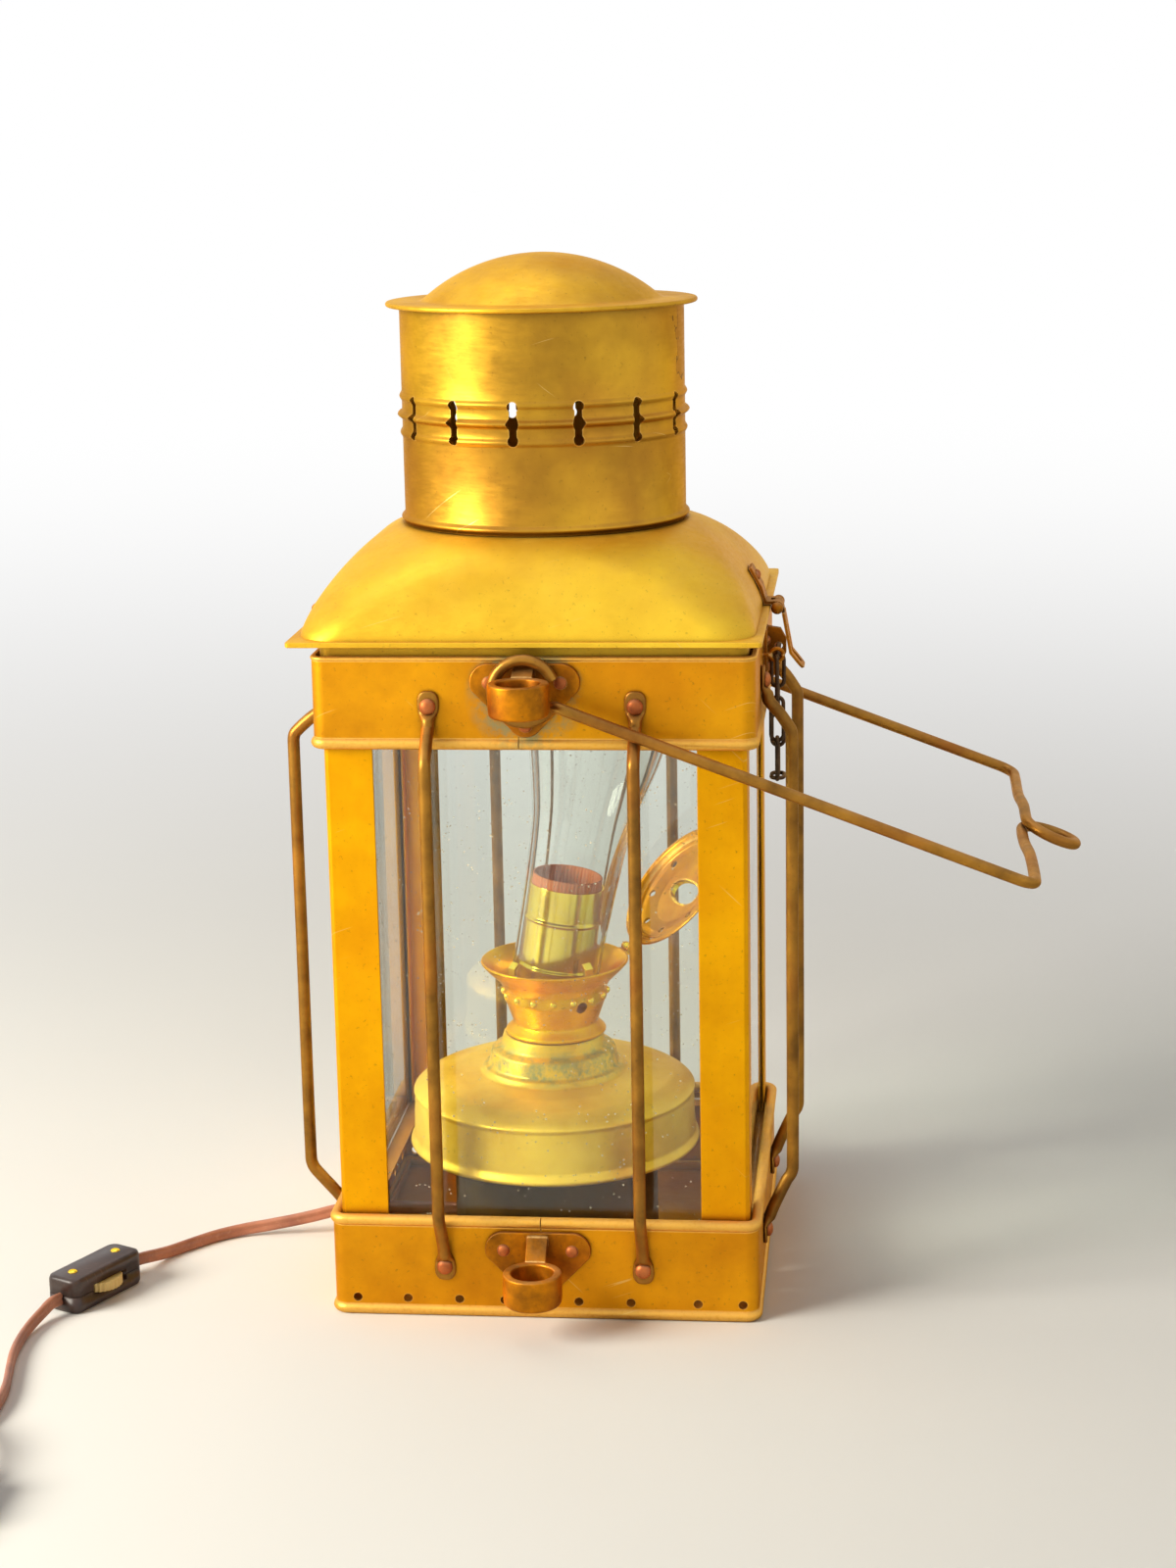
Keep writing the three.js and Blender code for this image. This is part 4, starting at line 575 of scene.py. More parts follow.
brassLooks = {
    "houseBrass": {"light": (222, 152, 20), "shade": (182, 116, 18), "warm": (208, 124, 20),
                   "spot": (92, 60, 26), "dust": 0.3, "grain": (300, 300, 900), "scratched": 0.4},
    "bandBrass": {"light": (234, 162, 18), "shade": (196, 126, 14), "warm": (220, 132, 16),
                  "spot": (88, 58, 26), "dust": 0.4, "green": ((-2.2, -83, 246), 23, 0.6), "scratched": 0.4,
                  "edge": (252, 204, 104), "rolled": ((2.2, 2.4), (38.8, 2.4), (227.6, 2.4), (259.7, 1.1))},
    "postBrass": {"light": (250, 180, 6), "shade": (226, 154, 4), "warm": (232, 140, 8),
                  "spot": (120, 74, 16), "dust": 0.15, "grain": (700, 700, 60), "dentDepth": 0.0002,
                  "scratched": 0.35},
    "hoodBrass": {"light": (250, 208, 58), "shade": (218, 168, 38), "warm": (220, 140, 38),
                  "spot": (110, 74, 28), "dust": 0.2, "warmth": 0.6, "patch": 18, "rough": (0.34, 0.48),
                  "scratched": 0.45, "dustTone": (224, 176, 92), "metallic": 0.6},
    "drumBrass": {"light": (212, 162, 46), "shade": (130, 88, 32), "warm": (172, 94, 42),
                  "spot": (80, 52, 26), "dust": 0.35, "patch": 16, "warmth": 0.6, "grain": (120, 120, 700),
                  "rough": (0.28, 0.44), "scratched": 0.6, "metallic": 0.85, "dustTone": (216, 164, 88),
                  "mended": ((52, -3, 372), 13)},
    "capBrass": {"light": (234, 186, 52), "shade": (186, 134, 34), "warm": (200, 124, 36),
                 "spot": (100, 70, 36), "dust": 0.25, "patch": 24, "spotted": 0.7,
                 "dustTone": (224, 180, 92)},
    "rodBrass": {"light": (176, 124, 46), "shade": (116, 80, 34), "warm": (168, 98, 42),
                 "spot": (74, 50, 30), "dust": 0.3, "patch": 60, "rough": (0.3, 0.46), "dentDepth": 0.0003,
                 "warmth": 0.55, "edgeWearAndGlint": 0},
    "castBrass": {"light": (216, 134, 14), "shade": (112, 66, 14), "warm": (196, 96, 16),
                  "spot": (66, 46, 28), "dust": 0.4, "patch": 80, "rough": (0.34, 0.52), "spotted": 0.7,
                  "edge": (250, 212, 138)},
    "copperRivet": {"light": (202, 116, 62), "shade": (150, 78, 44), "warm": (212, 140, 88),
                    "spot": (84, 56, 40), "dust": 0.5, "patch": 200, "dentDepth": 0.0004,
                    "rough": (0.42, 0.6), "edgeWearAndGlint": 0.3, "dustTone": (214, 172, 136)},
    "fontBrass": {"light": (255, 222, 84), "shade": (232, 184, 52), "warm": (240, 172, 44),
                  "spot": (100, 80, 44), "dust": 0.2, "patch": 30, "rough": (0.32, 0.46),
                  "green": ((-4.2, 0, 79.5), 33, 1), "greenFlat": 3, "metallic": 0.6,
                  "dustTone": (232, 188, 96)},
    "burnerBrass": {"light": (255, 204, 8), "shade": (236, 164, 8), "warm": (240, 150, 12),
                    "spot": (120, 74, 20), "dust": 0.15, "patch": 70, "rough": (0.26, 0.34),
                    "grainDepth": 0.00001, "metallic": 0.75, "edgeWearAndGlint": 0.3, "dustTone": (240, 186, 90),
                    "hollow": 0.003, "alone": True},
    # the font's foot is painted dark: painted shade for the shadow it stands in under the font
    "shadedFootBrass": {"light": (112, 88, 40), "shade": (66, 52, 28), "warm": (96, 66, 34), "spot": (50, 42, 28),
                  "dust": 0.2, "edgeWearAndGlint": 0.3},
    "crownBrass": {"light": (236, 172, 40), "shade": (196, 124, 30), "warm": (216, 126, 36),
                   "spot": (96, 60, 34), "dust": 0.15, "patch": 50, "rough": (0.24, 0.4),
                   "grainDepth": 0.00003, "dustTone": (226, 176, 96)},
    "socketBrass": {"light": (255, 232, 84), "shade": (250, 214, 60), "warm": (250, 204, 56),
                    "spot": (170, 130, 36), "rough": (0.16, 0.26), "patch": 80, "dentDepth": 0.0004,
                    "spotted": 0.2, "grainDepth": 0.00001, "metallic": 0.85, "hollow": 0.0015,
                    "alone": True},
    "darkIron": {"light": (84, 66, 52), "shade": (52, 42, 36), "warm": (112, 72, 46), "spot": (36, 30, 28),
                 "dust": 0.4, "patch": 160, "rough": (0.4, 0.62), "edgeWearAndGlint": 0.2, "edge": (150, 110, 70)},
}
finishes = {name: brassFinish(name, look) for name, look in brassLooks.items()}


def glassFinish(name, look):
    # clear glass with a faint tint, dull smears and specks of dust
    material, tree, surface, place = newMaterial(name)
    surface.inputs["Base Color"].default_value = tone(*look["tint"])
    surface.inputs["Transmission Weight"].default_value = 1
    surface.inputs["IOR"].default_value = 1.45
    surface.inputs["Specular IOR Level"].default_value = 0.25
    smears = ranged(tree, noiseAt(tree, place, 1, 4, 0.6, look["smear"]), 0.45, 0.8, 0.0, look["dull"])
    tree.links.new(smears, surface.inputs["Roughness"])
    grains = addNode(tree, "ShaderNodeTexVoronoi",
                     {"Vector": place, "Scale": look["grains"], "Randomness": 1.0})
    small = ranged(tree, grains.outputs["Distance"], 0.2, 0.1)
    chosen = ranged(tree, noiseAt(tree, place, look["grains"] * 0.4, 2), 0.56, 0.6)
    film = ranged(tree, noiseAt(tree, place, 22, 5, 0.7), 0.4, 0.8, look["film"] * 0.3, look["film"])
    dusty = maths(tree, maths(tree, maths(tree, small, chosen), 0.75), film, "ADD")
    dirt = addNode(tree, "ShaderNodeBsdfDiffuse", {"Color": tone(206, 190, 160)})
    clear = addNode(tree, "ShaderNodeBsdfTransparent", {"Color": tone(*look["shadow"])})
    rays = addNode(tree, "ShaderNodeLightPath").outputs
    late = maths(tree, rays["Ray Depth"], 4.5, "GREATER_THAN")
    fromLamp = maths(tree, rays["Is Shadow Ray"], late, "MAXIMUM")
    lit = addNode(tree, "ShaderNodeMixShader", {0: dusty, 1: surface.outputs[0], 2: dirt.outputs[0]})
    whole = addNode(tree, "ShaderNodeMixShader", {0: fromLamp, 1: lit.outputs[0], 2: clear.outputs[0]})
    tree.links.new(whole.outputs[0], tree.nodes["Material Output"].inputs["Surface"])
    return material


glassLooks = {
    "paneGlass": {"tint": (247, 251, 247), "shadow": (250, 252, 250), "dull": 0.05, "smear": (20, 20, 60),
                  "grains": 420, "film": 0.008},
    "chimneyGlass": {"tint": (250, 251, 248), "shadow": (252, 252, 250), "dull": 0.05, "smear": (60, 60, 9),
                     "grains": 700, "film": 0.01},
}
finishes.update({name: glassFinish(name, look) for name, look in glassLooks.items()})


def plasticFinish(name, look):
    material, tree, surface, place = newMaterial(name)
    cloudy = ranged(tree, noiseAt(tree, place, 70, 5, 0.6), 0.3, 0.7)
    colour = blended(tree, cloudy, tone(*look["shade"]), tone(*look["light"]))
    scuffs = ranged(tree, noiseAt(tree, place, 1, 3, 0.7, (220, 900, 220)), 0.58, 0.75, 0, look["scuffed"])
    colour = blended(tree, scuffs, colour, tone(*look["scuff"]))
    tree.links.new(colour, surface.inputs["Base Color"])
    tree.links.new(ranged(tree, cloudy, 0, 1, look["rough"] - 0.08, look["rough"] + 0.1),
                   surface.inputs["Roughness"])
    fine = noiseAt(tree, place, 900, 3, 0.6)
    bump = addNode(tree, "ShaderNodeBump", {"Height": fine, "Strength": 0.4, "Distance": 0.00008})
    tree.links.new(bump.outputs[0], surface.inputs["Normal"])
    return material


plasticLooks = {
    "leadBrown": {"light": (190, 126, 96), "shade": (148, 92, 70), "rough": 0.42, "scuff": (214, 166, 136),
                  "scuffed": 0.35},
    "switchBrown": {"light": (64, 44, 36), "shade": (44, 30, 26), "rough": 0.36, "scuff": (128, 100, 82),
                    "scuffed": 0.4},
    "wheelYellow": {"light": (226, 196, 122), "shade": (204, 168, 92), "rough": 0.45,
                    "scuff": (150, 116, 70), "scuffed": 0.3},
}
finishes.update({name: plasticFinish(name, look) for name, look in plasticLooks.items()})


def cardFinish(name, look):
    # ribbed card: stripes round the socket's own leaning axis
    material, tree, surface, place = newMaterial(name)
    aligned = addNode(tree, "ShaderNodeMapping",
                      {"Vector": place, "Location": [x / 1000 for x in look["centre"]],
                       "Rotation": (0, math.radians(look["lean"]), 0)}, vector_type="TEXTURE").outputs[0]
    around = addNode(tree, "ShaderNodeTexGradient", {"Vector": aligned},
                     gradient_type="RADIAL").outputs["Fac"]
    turn = addNode(tree, "ShaderNodeMath", {0: around, 1: look["ribs"] * 2 * math.pi},
                   operation="MULTIPLY").outputs[0]
    ribs = ranged(tree, addNode(tree, "ShaderNodeMath", {0: turn}, operation="SINE").outputs[0], -1, 1)
    fibre = noiseAt(tree, place, 500, 4, 0.7)
    colour = blended(tree, maths(tree, ribs, fibre), tone(*look["shade"]), tone(*look["light"]))
    tree.links.new(colour, surface.inputs["Base Color"])
    surface.inputs["Roughness"].default_value = 0.85
    bump = addNode(tree, "ShaderNodeBump", {"Height": ribs, "Strength": 0.6, "Distance": 0.0002})
    tree.links.new(bump.outputs[0], surface.inputs["Normal"])
    return material


print("finishes made:", len(finishes))

space = 0.3  # millimetres left between two separate pieces

# Cords: the lead from the house to its switch, and on to the coil and the plug
lead = {"width": 5.2, "height": 2.6, "pinch": 0.82, "sides": 20}
coil = {"x": -236.4, "y": -224.5, "inner": 22, "layerTurns": 3.75, "clearance": 0.55, "steps": 36,
        "flare": 15, "low": 3.8}
inline = {"length": 40, "width": 16, "height": 14.5, "corner": 4, "turn": 63.4, "x": -181.5, "y": -71,
          "wheelSlot": 4.6, "entry": 6}
entry = {"y": -1, "z": 12.5, "radius": 4.2}  # where the lead passes through the lower band
switchAlong = pointing(inline["turn"])


def switchEnd(sign, more=0):
    middle = Vector((inline["x"], inline["y"], inline["entry"]))
    return middle + switchAlong * sign * (inline["length"] / 2 + space + more)


def dressed(node, name, finish, slot, width=0.3, angle=40, body="house"):
    # the solid's own shape with rounded edges and a finish
    return settle(refined(node, name, finishes[finish], width, angle), body, slot, node)


def leadSection():
    # two round cores side by side with a pinched web between them
    tall, half = lead["width"] / 2, lead["height"] / 2
    ring = []
    for k in range(lead["sides"]):
        turn = 2 * math.pi * (k + 0.5) / lead["sides"]
        up = tall * math.sin(turn)
        lobe = math.sqrt(max(half ** 2 - (abs(up) - (tall - half)) ** 2, 0))
        wide = max(lobe, lead["pinch"] if abs(up) < tall - half else 0)
        ring.append((math.copysign(wide, math.cos(turn)), up))
    return ring


def flatLead(name, line, finish):
    section, rings = leadSection(), []
    for i, here in enumerate(line):
        along = (line[min(i + 1, len(line) - 1)] - line[max(i - 1, 0)]).normalized()
        side = Vector((0, 0, 1)).cross(along).normalized()
        up = along.cross(side)
        rings.append([here + side * u + up * v for u, v in section])
    return shaped(name, skinned(rings), finish, 60)


def coilLine(c):
    pitch = lead["height"] + c["clearance"]
    turning = c["inner"] + pitch / 2
    total = 2 * c["layerTurns"] + 0.5
    count = round(total * c["steps"])
    line = []
    for k in range(count + 1):
        turns = total * k / count
        past = turns - c["layerTurns"]
        climb = min(max(past * 2, 0), 1)
        steps = -past if past < 0.5 else min(3 * past - 2, past)
        share = min(max((turns - total + 0.25) / 0.25, 0), 1)
        radius = turning + pitch * steps + c["flare"] * share ** 2 * (3 - 2 * share)
        turn = math.radians(-360 * turns)
        line.append(Vector((c["x"] + radius * math.cos(turn), c["y"] + radius * math.sin(turn),
                            c["low"] + (lead["width"] + c["clearance"]) * climb)))
    line.append(line[-1] - Vector((0, lead["width"] + space, 0)))
    return line


def lengthOf(line):
    return sum((b - a).length for a, b in zip(line, line[1:])) / 1000


leadLine = smoothLine([(-84.4, entry["y"], entry["z"]), (-90.5, -1.4, 12.1), (-98.1, -2.4, 10.5),
                       (-107, -3.3, 8.3), (-114.7, -3.9, 6.6), (-126, -4.7, 4.4), (-135.2, -6.6, 3.2),
                       (-145, -12.5, 2.7), (-153, -20.8, 2.6), (-162, -32.4, 2.9),
                       switchEnd(1, lead["width"]), switchEnd(1)])
coilPath = coilLine(coil)
into = (coilPath[1] - coilPath[0]).normalized()
tailLine = smoothLine([switchEnd(-1), switchEnd(-1, lead["width"]), (-195, -98.4, 4.4), (-197.2, -110, 3),
                       (-197.4, -123, 2.6), (-196, -136, 2.6), (-193.4, -149, 2.6), (-190.2, -165, 2.6),
                       (-189.4, -181, 2.8), (-192, -196, 3.4),
                       coilPath[0] - into * (2 * lead["width"] + space)]) + coilPath
leadPiece = flatLead("leadToSwitch", leadLine, finishes["leadBrown"])
tailPiece = flatLead("leadToPlug", tailLine, finishes["leadBrown"])
settle(leadPiece, "house", "lead_sheath", "cord_lead")
settle(tailPiece, "house", "lead_sheath", "cord_tail", "cord_coil")
innerLead = flatLead("leadInside", [Vector((-80.7 + k * 9.6, entry["y"], entry["z"])) for k in range(5)],
                     finishes["leadBrown"])
settle(innerLead, "house", "lead_sheath", "inner_lead")


def switchShape():
    c = inline
    x, y = c["length"] / 2 - c["corner"], c["width"] / 2 - c["corner"]
    outline = []
    for sx, sy, start in ((1, 1, 0), (-1, 1, 90), (-1, -1, 180), (1, -1, 270)):
        outline += arcRun(sx * x, sy * y, c["corner"], start, start + 90, 6)
    return outline


def placeSwitch(shape):
    return turnedBy(shape, shift(inline["x"], inline["y"]) @ spin(inline["turn"], "Z"))


def upright(u, v, w):
    return (u, v, w)


wheel = {"radius": 9, "thickness": 3.8, "offset": 3.4, "knurls": 30, "knurl": 0.45}
wheelY = -inline["width"] / 2 - wheel["offset"] + wheel["radius"]
wheelDeep = wheelY + wheel["radius"] + 0.6
middleZ = inline["height"] / 2
switchCase = edged(shaped("switchCase", placeSwitch(slab(switchShape(), 0, inline["height"], upright)),
                          finishes["switchBrown"]), 1.9, 60)
slotHalf, wheelHalf = inline["wheelSlot"] / 2, wheel["thickness"] / 2
slotBox = [(-9.6, -20), (9.6, -20), (9.6, wheelDeep), (-9.6, wheelDeep)]
slotTool = makeTool("wheelSlot", placeSwitch(slab(slotBox, middleZ - slotHalf, middleZ + slotHalf, upright)))
insideLine = [(u * 0.982, v * 0.955) for u, v in switchShape()]
seamRings = [[Vector((u * k, v * k, z)) for u, v in insideLine]
             for k, z in ((1, middleZ - 0.25), (1.2, middleZ - 0.25), (1.2, middleZ + 0.25),
                          (1, middleZ + 0.25))]
seamTool = makeTool("switchSeam", placeSwitch(skinned(seamRings, True)))
here = [((0, 0, 0), (0, 0, 1), (1, 0, 0), 1)]
cutAt(switchCase, seamTool, here, finishes["switchBrown"])
cutAt(switchCase, slotTool, here, finishes["switchBrown"])
settle(switchCase, "house", "brown_plastic", "cord_switch")
wheelRing = []
for k in range(wheel["knurls"] * 4):
    r = wheel["radius"] - wheel["knurl"] * (0.5 + 0.5 * math.cos(k * math.pi / 2))
    turn = 2 * math.pi * k / (wheel["knurls"] * 4)
    wheelRing.append((r * math.cos(turn), wheelY + r * math.sin(turn)))
switchWheel = edged(shaped("switchWheel",
                           placeSwitch(slab(wheelRing, middleZ - wheelHalf, middleZ + wheelHalf, upright)),
                           finishes["wheelYellow"]), 0.25, 60)
settle(switchWheel, "switch_wheel", "wheel_plastic", "switch_wheel")
screwHead = makeTool("screwHead",
                     turned([(0, -0.4), (1.9, -0.4), (1.9, 0.15), (1.5, 0.6), (0.8, 0.8), (0, 0.85)], 20))
switchTop = [placeSwitch(([Vector((u, 0, inline["height"]))], []))[0][0] for u in (-12.5, 12.5)]
switchScrews = seatedPieces("switchScrews", screwHead, [(p, (0, 0, 1), (1, 0, 0), 1) for p in switchTop],
                            finishes["socketBrass"], "house", "bright_brass")
plugBody = dressed("plug_body", "plugCase", "switchBrown", "brown_plastic", 0.9, 60)
plugBlades = [dressed(node, node + "Strip", "socketBrass", "bright_brass", 0.25)
              for node in ("plug_blade_left", "plug_blade_right")]
cordTie = dressed("cord_tie", "coilTie", "switchBrown", "brown_plastic", 0.2)
print(f"cords laid: {lengthOf(leadLine):.3f} m and {lengthOf(tailLine):.3f} m")

# House: the two bands, with their beads, seams and vent holes
house = {"half": 82.5, "wall": 1.2, "corner": 5, "lowerTop": 41, "upperBottom": 225.4, "upperTop": 260.6,
         "bead": 2.2, "proud": 1.5, "roll": 0.9, "rollProud": 0.7}
ventHoles = {"radius": 1.75, "height": 7, "shares": (-0.89, -0.65, -0.405, -0.19, 0.16, 0.405, 0.72, 0.93)}
faceNames = ("front", "right", "back", "left")


def beadRun(z, start, end, steps, radius=house["bead"], proud=house["proud"]):
    return [(x - radius + proud, y) for x, y in arcRun(0, z, radius, start, end, steps)]


def faceSeats(places, face, out=(0, -1, 0), side=(1, 0, 0)):
    # places on the front are x, distance from its face, z and size
    seats = []
    for x, o, z, size in places:
        front = [Vector((x, -house["half"] - o, z)), Vector(out), Vector(side)]
        seats.append((*faced((front, []), face)[0], size))
    return seats


lowBead, topBead = house["bead"], house["lowerTop"] - house["bead"]
lowerProfile = [*beadRun(lowBead, -90, 62, 9), *beadRun(topBead, -62, 90, 9),
                *beadRun(topBead, 110, 235, 6), (-house["wall"], topBead - house["bead"]),
                (-house["wall"], 2 * house["bead"]), *beadRun(lowBead, 125, 250, 6)]
lowerBand = shaped("lowerBand", squareTube(lowerProfile, house["half"], house["corner"]),
                   finishes["bandBrass"])
ventTool = makeDrill("ventDrill", ventHoles["radius"], 4, 20)
ventSeats = [seat for face in faceNames for seat in faceSeats(
    [(share * house["half"], 0, ventHoles["height"], 1) for share in ventHoles["shares"]], face)]
cutAt(lowerBand, ventTool, ventSeats, finishes["bandBrass"])
cordDrill = makeDrill("cordDrill", entry["radius"], 4, 32)
cutAt(lowerBand, cordDrill, [((-house["half"], entry["y"], entry["z"]), (1, 0, 0), (0, 1, 0), 1)],
      finishes["bandBrass"])
seamCut = makeTool("beadSeam", slab([(-0.22, -3), (0.22, -3), (0.22, 3), (-0.22, 3)], -0.7, 3, upright))
cutAt(lowerBand, seamCut, faceSeats([(-1, 0.4, topBead, 1)], "front"), finishes["bandBrass"])
settle(lowerBand, "house", "brass", "lower_band")
upperBead, topRoll = house["upperBottom"] + house["bead"], house["upperTop"] - house["roll"]
upperProfile = [*beadRun(upperBead, -90, 62, 9),
                *beadRun(topRoll, -60, 90, 6, house["roll"], house["rollProud"]),
                (-house["wall"], house["upperTop"]), (-house["wall"], upperBead + house["bead"]),
                *beadRun(upperBead, 125, 250, 6)]
upperBand = shaped("upperBand", squareTube(upperProfile, house["half"], house["corner"]),
                   finishes["bandBrass"])
cutAt(upperBand, seamCut, faceSeats([(-5, 0.4, upperBead, 1)], "front"), finishes["bandBrass"])
settle(upperBand, "house", "brass", "upper_band")

for name in ("front_left", "front_right", "back_right", "back_left"):
    dressed("post_" + name, "cornerPost_" + name, "postBrass", "brass", 0.35)
for face in faceNames:
    dressed("glass_" + face, "pane_" + face, "paneGlass", "glass", 0.25)
dressed("base_pan", "basePan", "houseBrass", "brass")
dressed("glass_ledge", "glassLedge", "houseBrass", "brass")
dressed("font_foot", "fontFoot", "shadedFootBrass", "brass", 0.25)
dressed("cord_grommet", "cordGrommet", "switchBrown", "brown_plastic")
print("house made")

# Guard rods: flattened lugs at both ends, bent out to their stand-off between them
guard = {"radius": 2.4, "offset": 38.5, "lugWidth": 8, "lugHeight": 11, "lugThickness": 1.7, "lowLug": 21,
         "low": 45, "rise": 14, "sides": 16}
guardReach = {"front": 14, "right": 12, "back": 14, "left": 16.5}


def guardShape(reach, top):
    g, r = guard, guard["radius"]
    seat, root = space + g["lugThickness"] / 2, r + space
    lugTop, lowTop = top + g["lugHeight"], g["lowLug"] + g["lugHeight"] / 2
    a, b = g["lugWidth"] / 2, g["lugThickness"] / 2
    path = [(seat, lugTop, a * 0.42, b * 0.8), (seat, lugTop - 0.5, a * 0.66, b),
            (seat, lugTop - 1.4, a * 0.86, b), (seat, lugTop - 2.8, a, b), (seat, top + 5, a, b),
            (seat, top + 3, a * 0.92, b), (root, top, r, r), (root + 0.6, top - 2.6, r, r),
            ((root + reach) / 2, top - g["rise"] / 2 - 0.4, r, r),
            (reach - 1.1, top - g["rise"] + 1.3, r, r), (reach - 0.2, top - g["rise"] - 0.6, r, r),
            (reach, top - g["rise"] - 3.4, r, r), (reach, 140, r, r), (reach, g["low"] + 2.5, r, r),
            (reach - 0.7, g["low"] - 0.6, r, r), (reach - 2.4, g["low"] - 3.2, r, r),
            (root + 1.6, lowTop + r + 1.4, r, r), (root, lowTop - 0.4, r, r),
            (seat, lowTop - 3.4, a * 0.92, b), (seat, lowTop - 5.4, a, b), (seat, g["lowLug"] - 2.8, a, b),
            (seat, g["lowLug"] - 4.2, a * 0.86, b), (seat, g["lowLug"] - 5.1, a * 0.66, b),
            (seat, g["lowLug"] - 5.5, a * 0.42, b * 0.8)]
    line = smoothLine([(o, z, 0) for o, z, _, _ in path], 4)
    sizes = smoothLine([(wide, thick, 0) for _, _, wide, thick in path], 4)
    rings = []
    for i, (here, size) in enumerate(zip(line, sizes)):
        along = (line[min(i + 1, len(line) - 1)] - line[max(i - 1, 0)]).normalized()
        flatness = 1 - min(size.y / r, 1)
        power = 1 - 0.45 * flatness
        ring = []
        for k in range(g["sides"]):
            turn = 2 * math.pi * k / g["sides"]
            u = math.copysign(abs(math.cos(turn)) ** power, math.cos(turn)) * size.x
            v = math.copysign(abs(math.sin(turn)) ** power, math.sin(turn)) * size.y
            ring.append(Vector((u, -(house["half"] + here.x - along.y * v), here.y + along.x * v)))
        rings.append(ring)
    return skinned(rings)


rivetHead = makeTool("rivetHead",
                     turned([(0, -0.3), (3, -0.3), (3.05, 0.15), (2.86, 0.72), (2.42, 1.22), (1.72, 1.6),
                             (0.9, 1.82), (0, 1.9)], 24))
rivetSeats = []
for face, reach in guardReach.items():
    for side, sign in (("first", -1), ("second", 1)):
        node = f"guard_{face}_{side}"
        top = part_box(node)[1].z * 1000 - guard["lugHeight"]
        shape = faced(movedBy(guardShape(reach, top), sign * guard["offset"]), face)
        settle(shaped(f"guardRod_{face}_{side}", shape, finishes["rodBrass"], 50), "house", "rod_brass",
               node)
        rivetSeats += faceSeats([(sign * guard["offset"], 2.3, top + 5.5, 1),
                                 (sign * guard["offset"], 2.3, 21, 1)], face)
seatedPieces("guardRivets", rivetHead, rivetSeats, finishes["copperRivet"], "house", "copper")
print("guards made")

# Socket brackets and the rear bail bracket: trefoil plates with a neck, cast cups in front
bracket = {"x": -2.2, "plate": 2, "width": 41, "height": 27.8, "lobe": 7.2, "foot": 6.5, "neckWidth": 8,
           "neckDepth": 4.6}
cup = {"outer": 11.25, "bore": 8.1, "height": 12.4, "floor": 1.6, "reach": 20.6}
bracketTop = {"upper": 258.4, "lower": 35.6}
cupDrop = {"upper": 3.6, "lower": 8.4}


def onFront(u, v, w):
    return (u, -(house["half"] + w), v)


def bracketShape(top, cupTop, neckEnd):
    b = bracket
    half = b["width"] / 2
    outline = [*arcRun(-half + b["lobe"], top - b["lobe"], b["lobe"], 90, 205, 12),
               *arcRun(0, top - b["height"] + b["foot"], b["foot"], 215, 325, 12),
               *arcRun(half - b["lobe"], top - b["lobe"], b["lobe"], -25, 90, 12)]
    plate = slab(outline, space, space + b["plate"], onFront)
    back = cup["reach"] - cup["outer"]

    def neckTop(o):
        return top - (o - b["plate"]) / (back - b["plate"]) * (top - cupTop)

    side = [(1, neckTop(2) - b["neckDepth"]), (neckEnd, neckTop(back) - b["neckDepth"]),
            (neckEnd, neckTop(back)), (1, neckTop(2) - space)]
    neck = slab(side, -b["neckWidth"] / 2, b["neckWidth"] / 2, lambda u, v, w: (w, -(house["half"] + u), v))
    return plate, neck


def cupShape(cupTop):
    low = cupTop - cup["height"]
    profile = [(0, low), (cup["outer"] - 0.9, low), (cup["outer"] - 0.2, low + 0.8),
               (cup["outer"], low + 3), (cup["outer"], cupTop), (cup["bore"], cupTop),
               (cup["bore"] - 0.1, low + cup["floor"]), (0, low + cup["floor"])]
    return movedBy(turned(softened(profile, 0.8, 3, False), 56), 0, -house["half"] - cup["reach"], 0)


for name, node in (("upper", "upper_socket_bracket"), ("lower", "lower_socket_bracket")):
    top = bracketTop[name]
    cupTop = top - cupDrop[name]
    plate, neck = bracketShape(top, cupTop, cup["reach"] - cup["bore"] - 1.6)
    body = edged(shaped(f"{name}BracketPlate", movedBy(together(plate, neck), bracket["x"]),
                        finishes["castBrass"]), 0.45)
    settle(body, "house", "brass", node)
    settle(shaped(f"{name}SocketCup", movedBy(cupShape(cupTop), bracket["x"]), finishes["castBrass"]),
           "house", "brass")
rearTop = bracketTop["upper"]
back = cup["reach"] - cup["outer"]
plate, neck = bracketShape(rearTop, rearTop - cupDrop["upper"], back + 1.5)
stud = slab(arcRun(0, rearTop - cupDrop["upper"] - bracket["neckDepth"] / 2, 5.5, 0, 352.5, 47), back,
            back + 3, onFront)
mirror = shift(bracket["x"]) @ Matrix.Diagonal((1, -1, 1, 1))
rear = edged(shaped("rearBailBracket", turnedBy(together(plate, neck, stud), mirror),
                    finishes["castBrass"]), 0.45, 45)
settle(rear, "house", "brass", "rear_bail_bracket")

flatHead = makeTool("flatHead",
                    turned([(0, -0.3), (2.4, -0.3), (2.4, 0.2), (2.2, 0.55), (1.6, 0.8), (0, 0.9)], 22))
for name, top, face in (("upper", bracketTop["upper"], "front"), ("lower", bracketTop["lower"], "front"),
                        ("rear", bracketTop["upper"], "back")):
    centre = bracket["x"] if face == "front" else -bracket["x"]
    low = name == "lower"
    pair = faceSeats([(centre + x, 2.3, top - 7.2, 0.8 if low else 1) for x in (-13.3, 13.3)], face)
    below = faceSeats([(centre, 2.3, top - 23.4, 0.8)], face)
    seatedPieces(name + "PairRivets", rivetHead if low else flatHead, pair, finishes["copperRivet"],
                 "house", "copper")
    seatedPieces(name + "FootRivet", rivetHead, below, finishes["copperRivet"], "house", "copper")
print("brackets made")

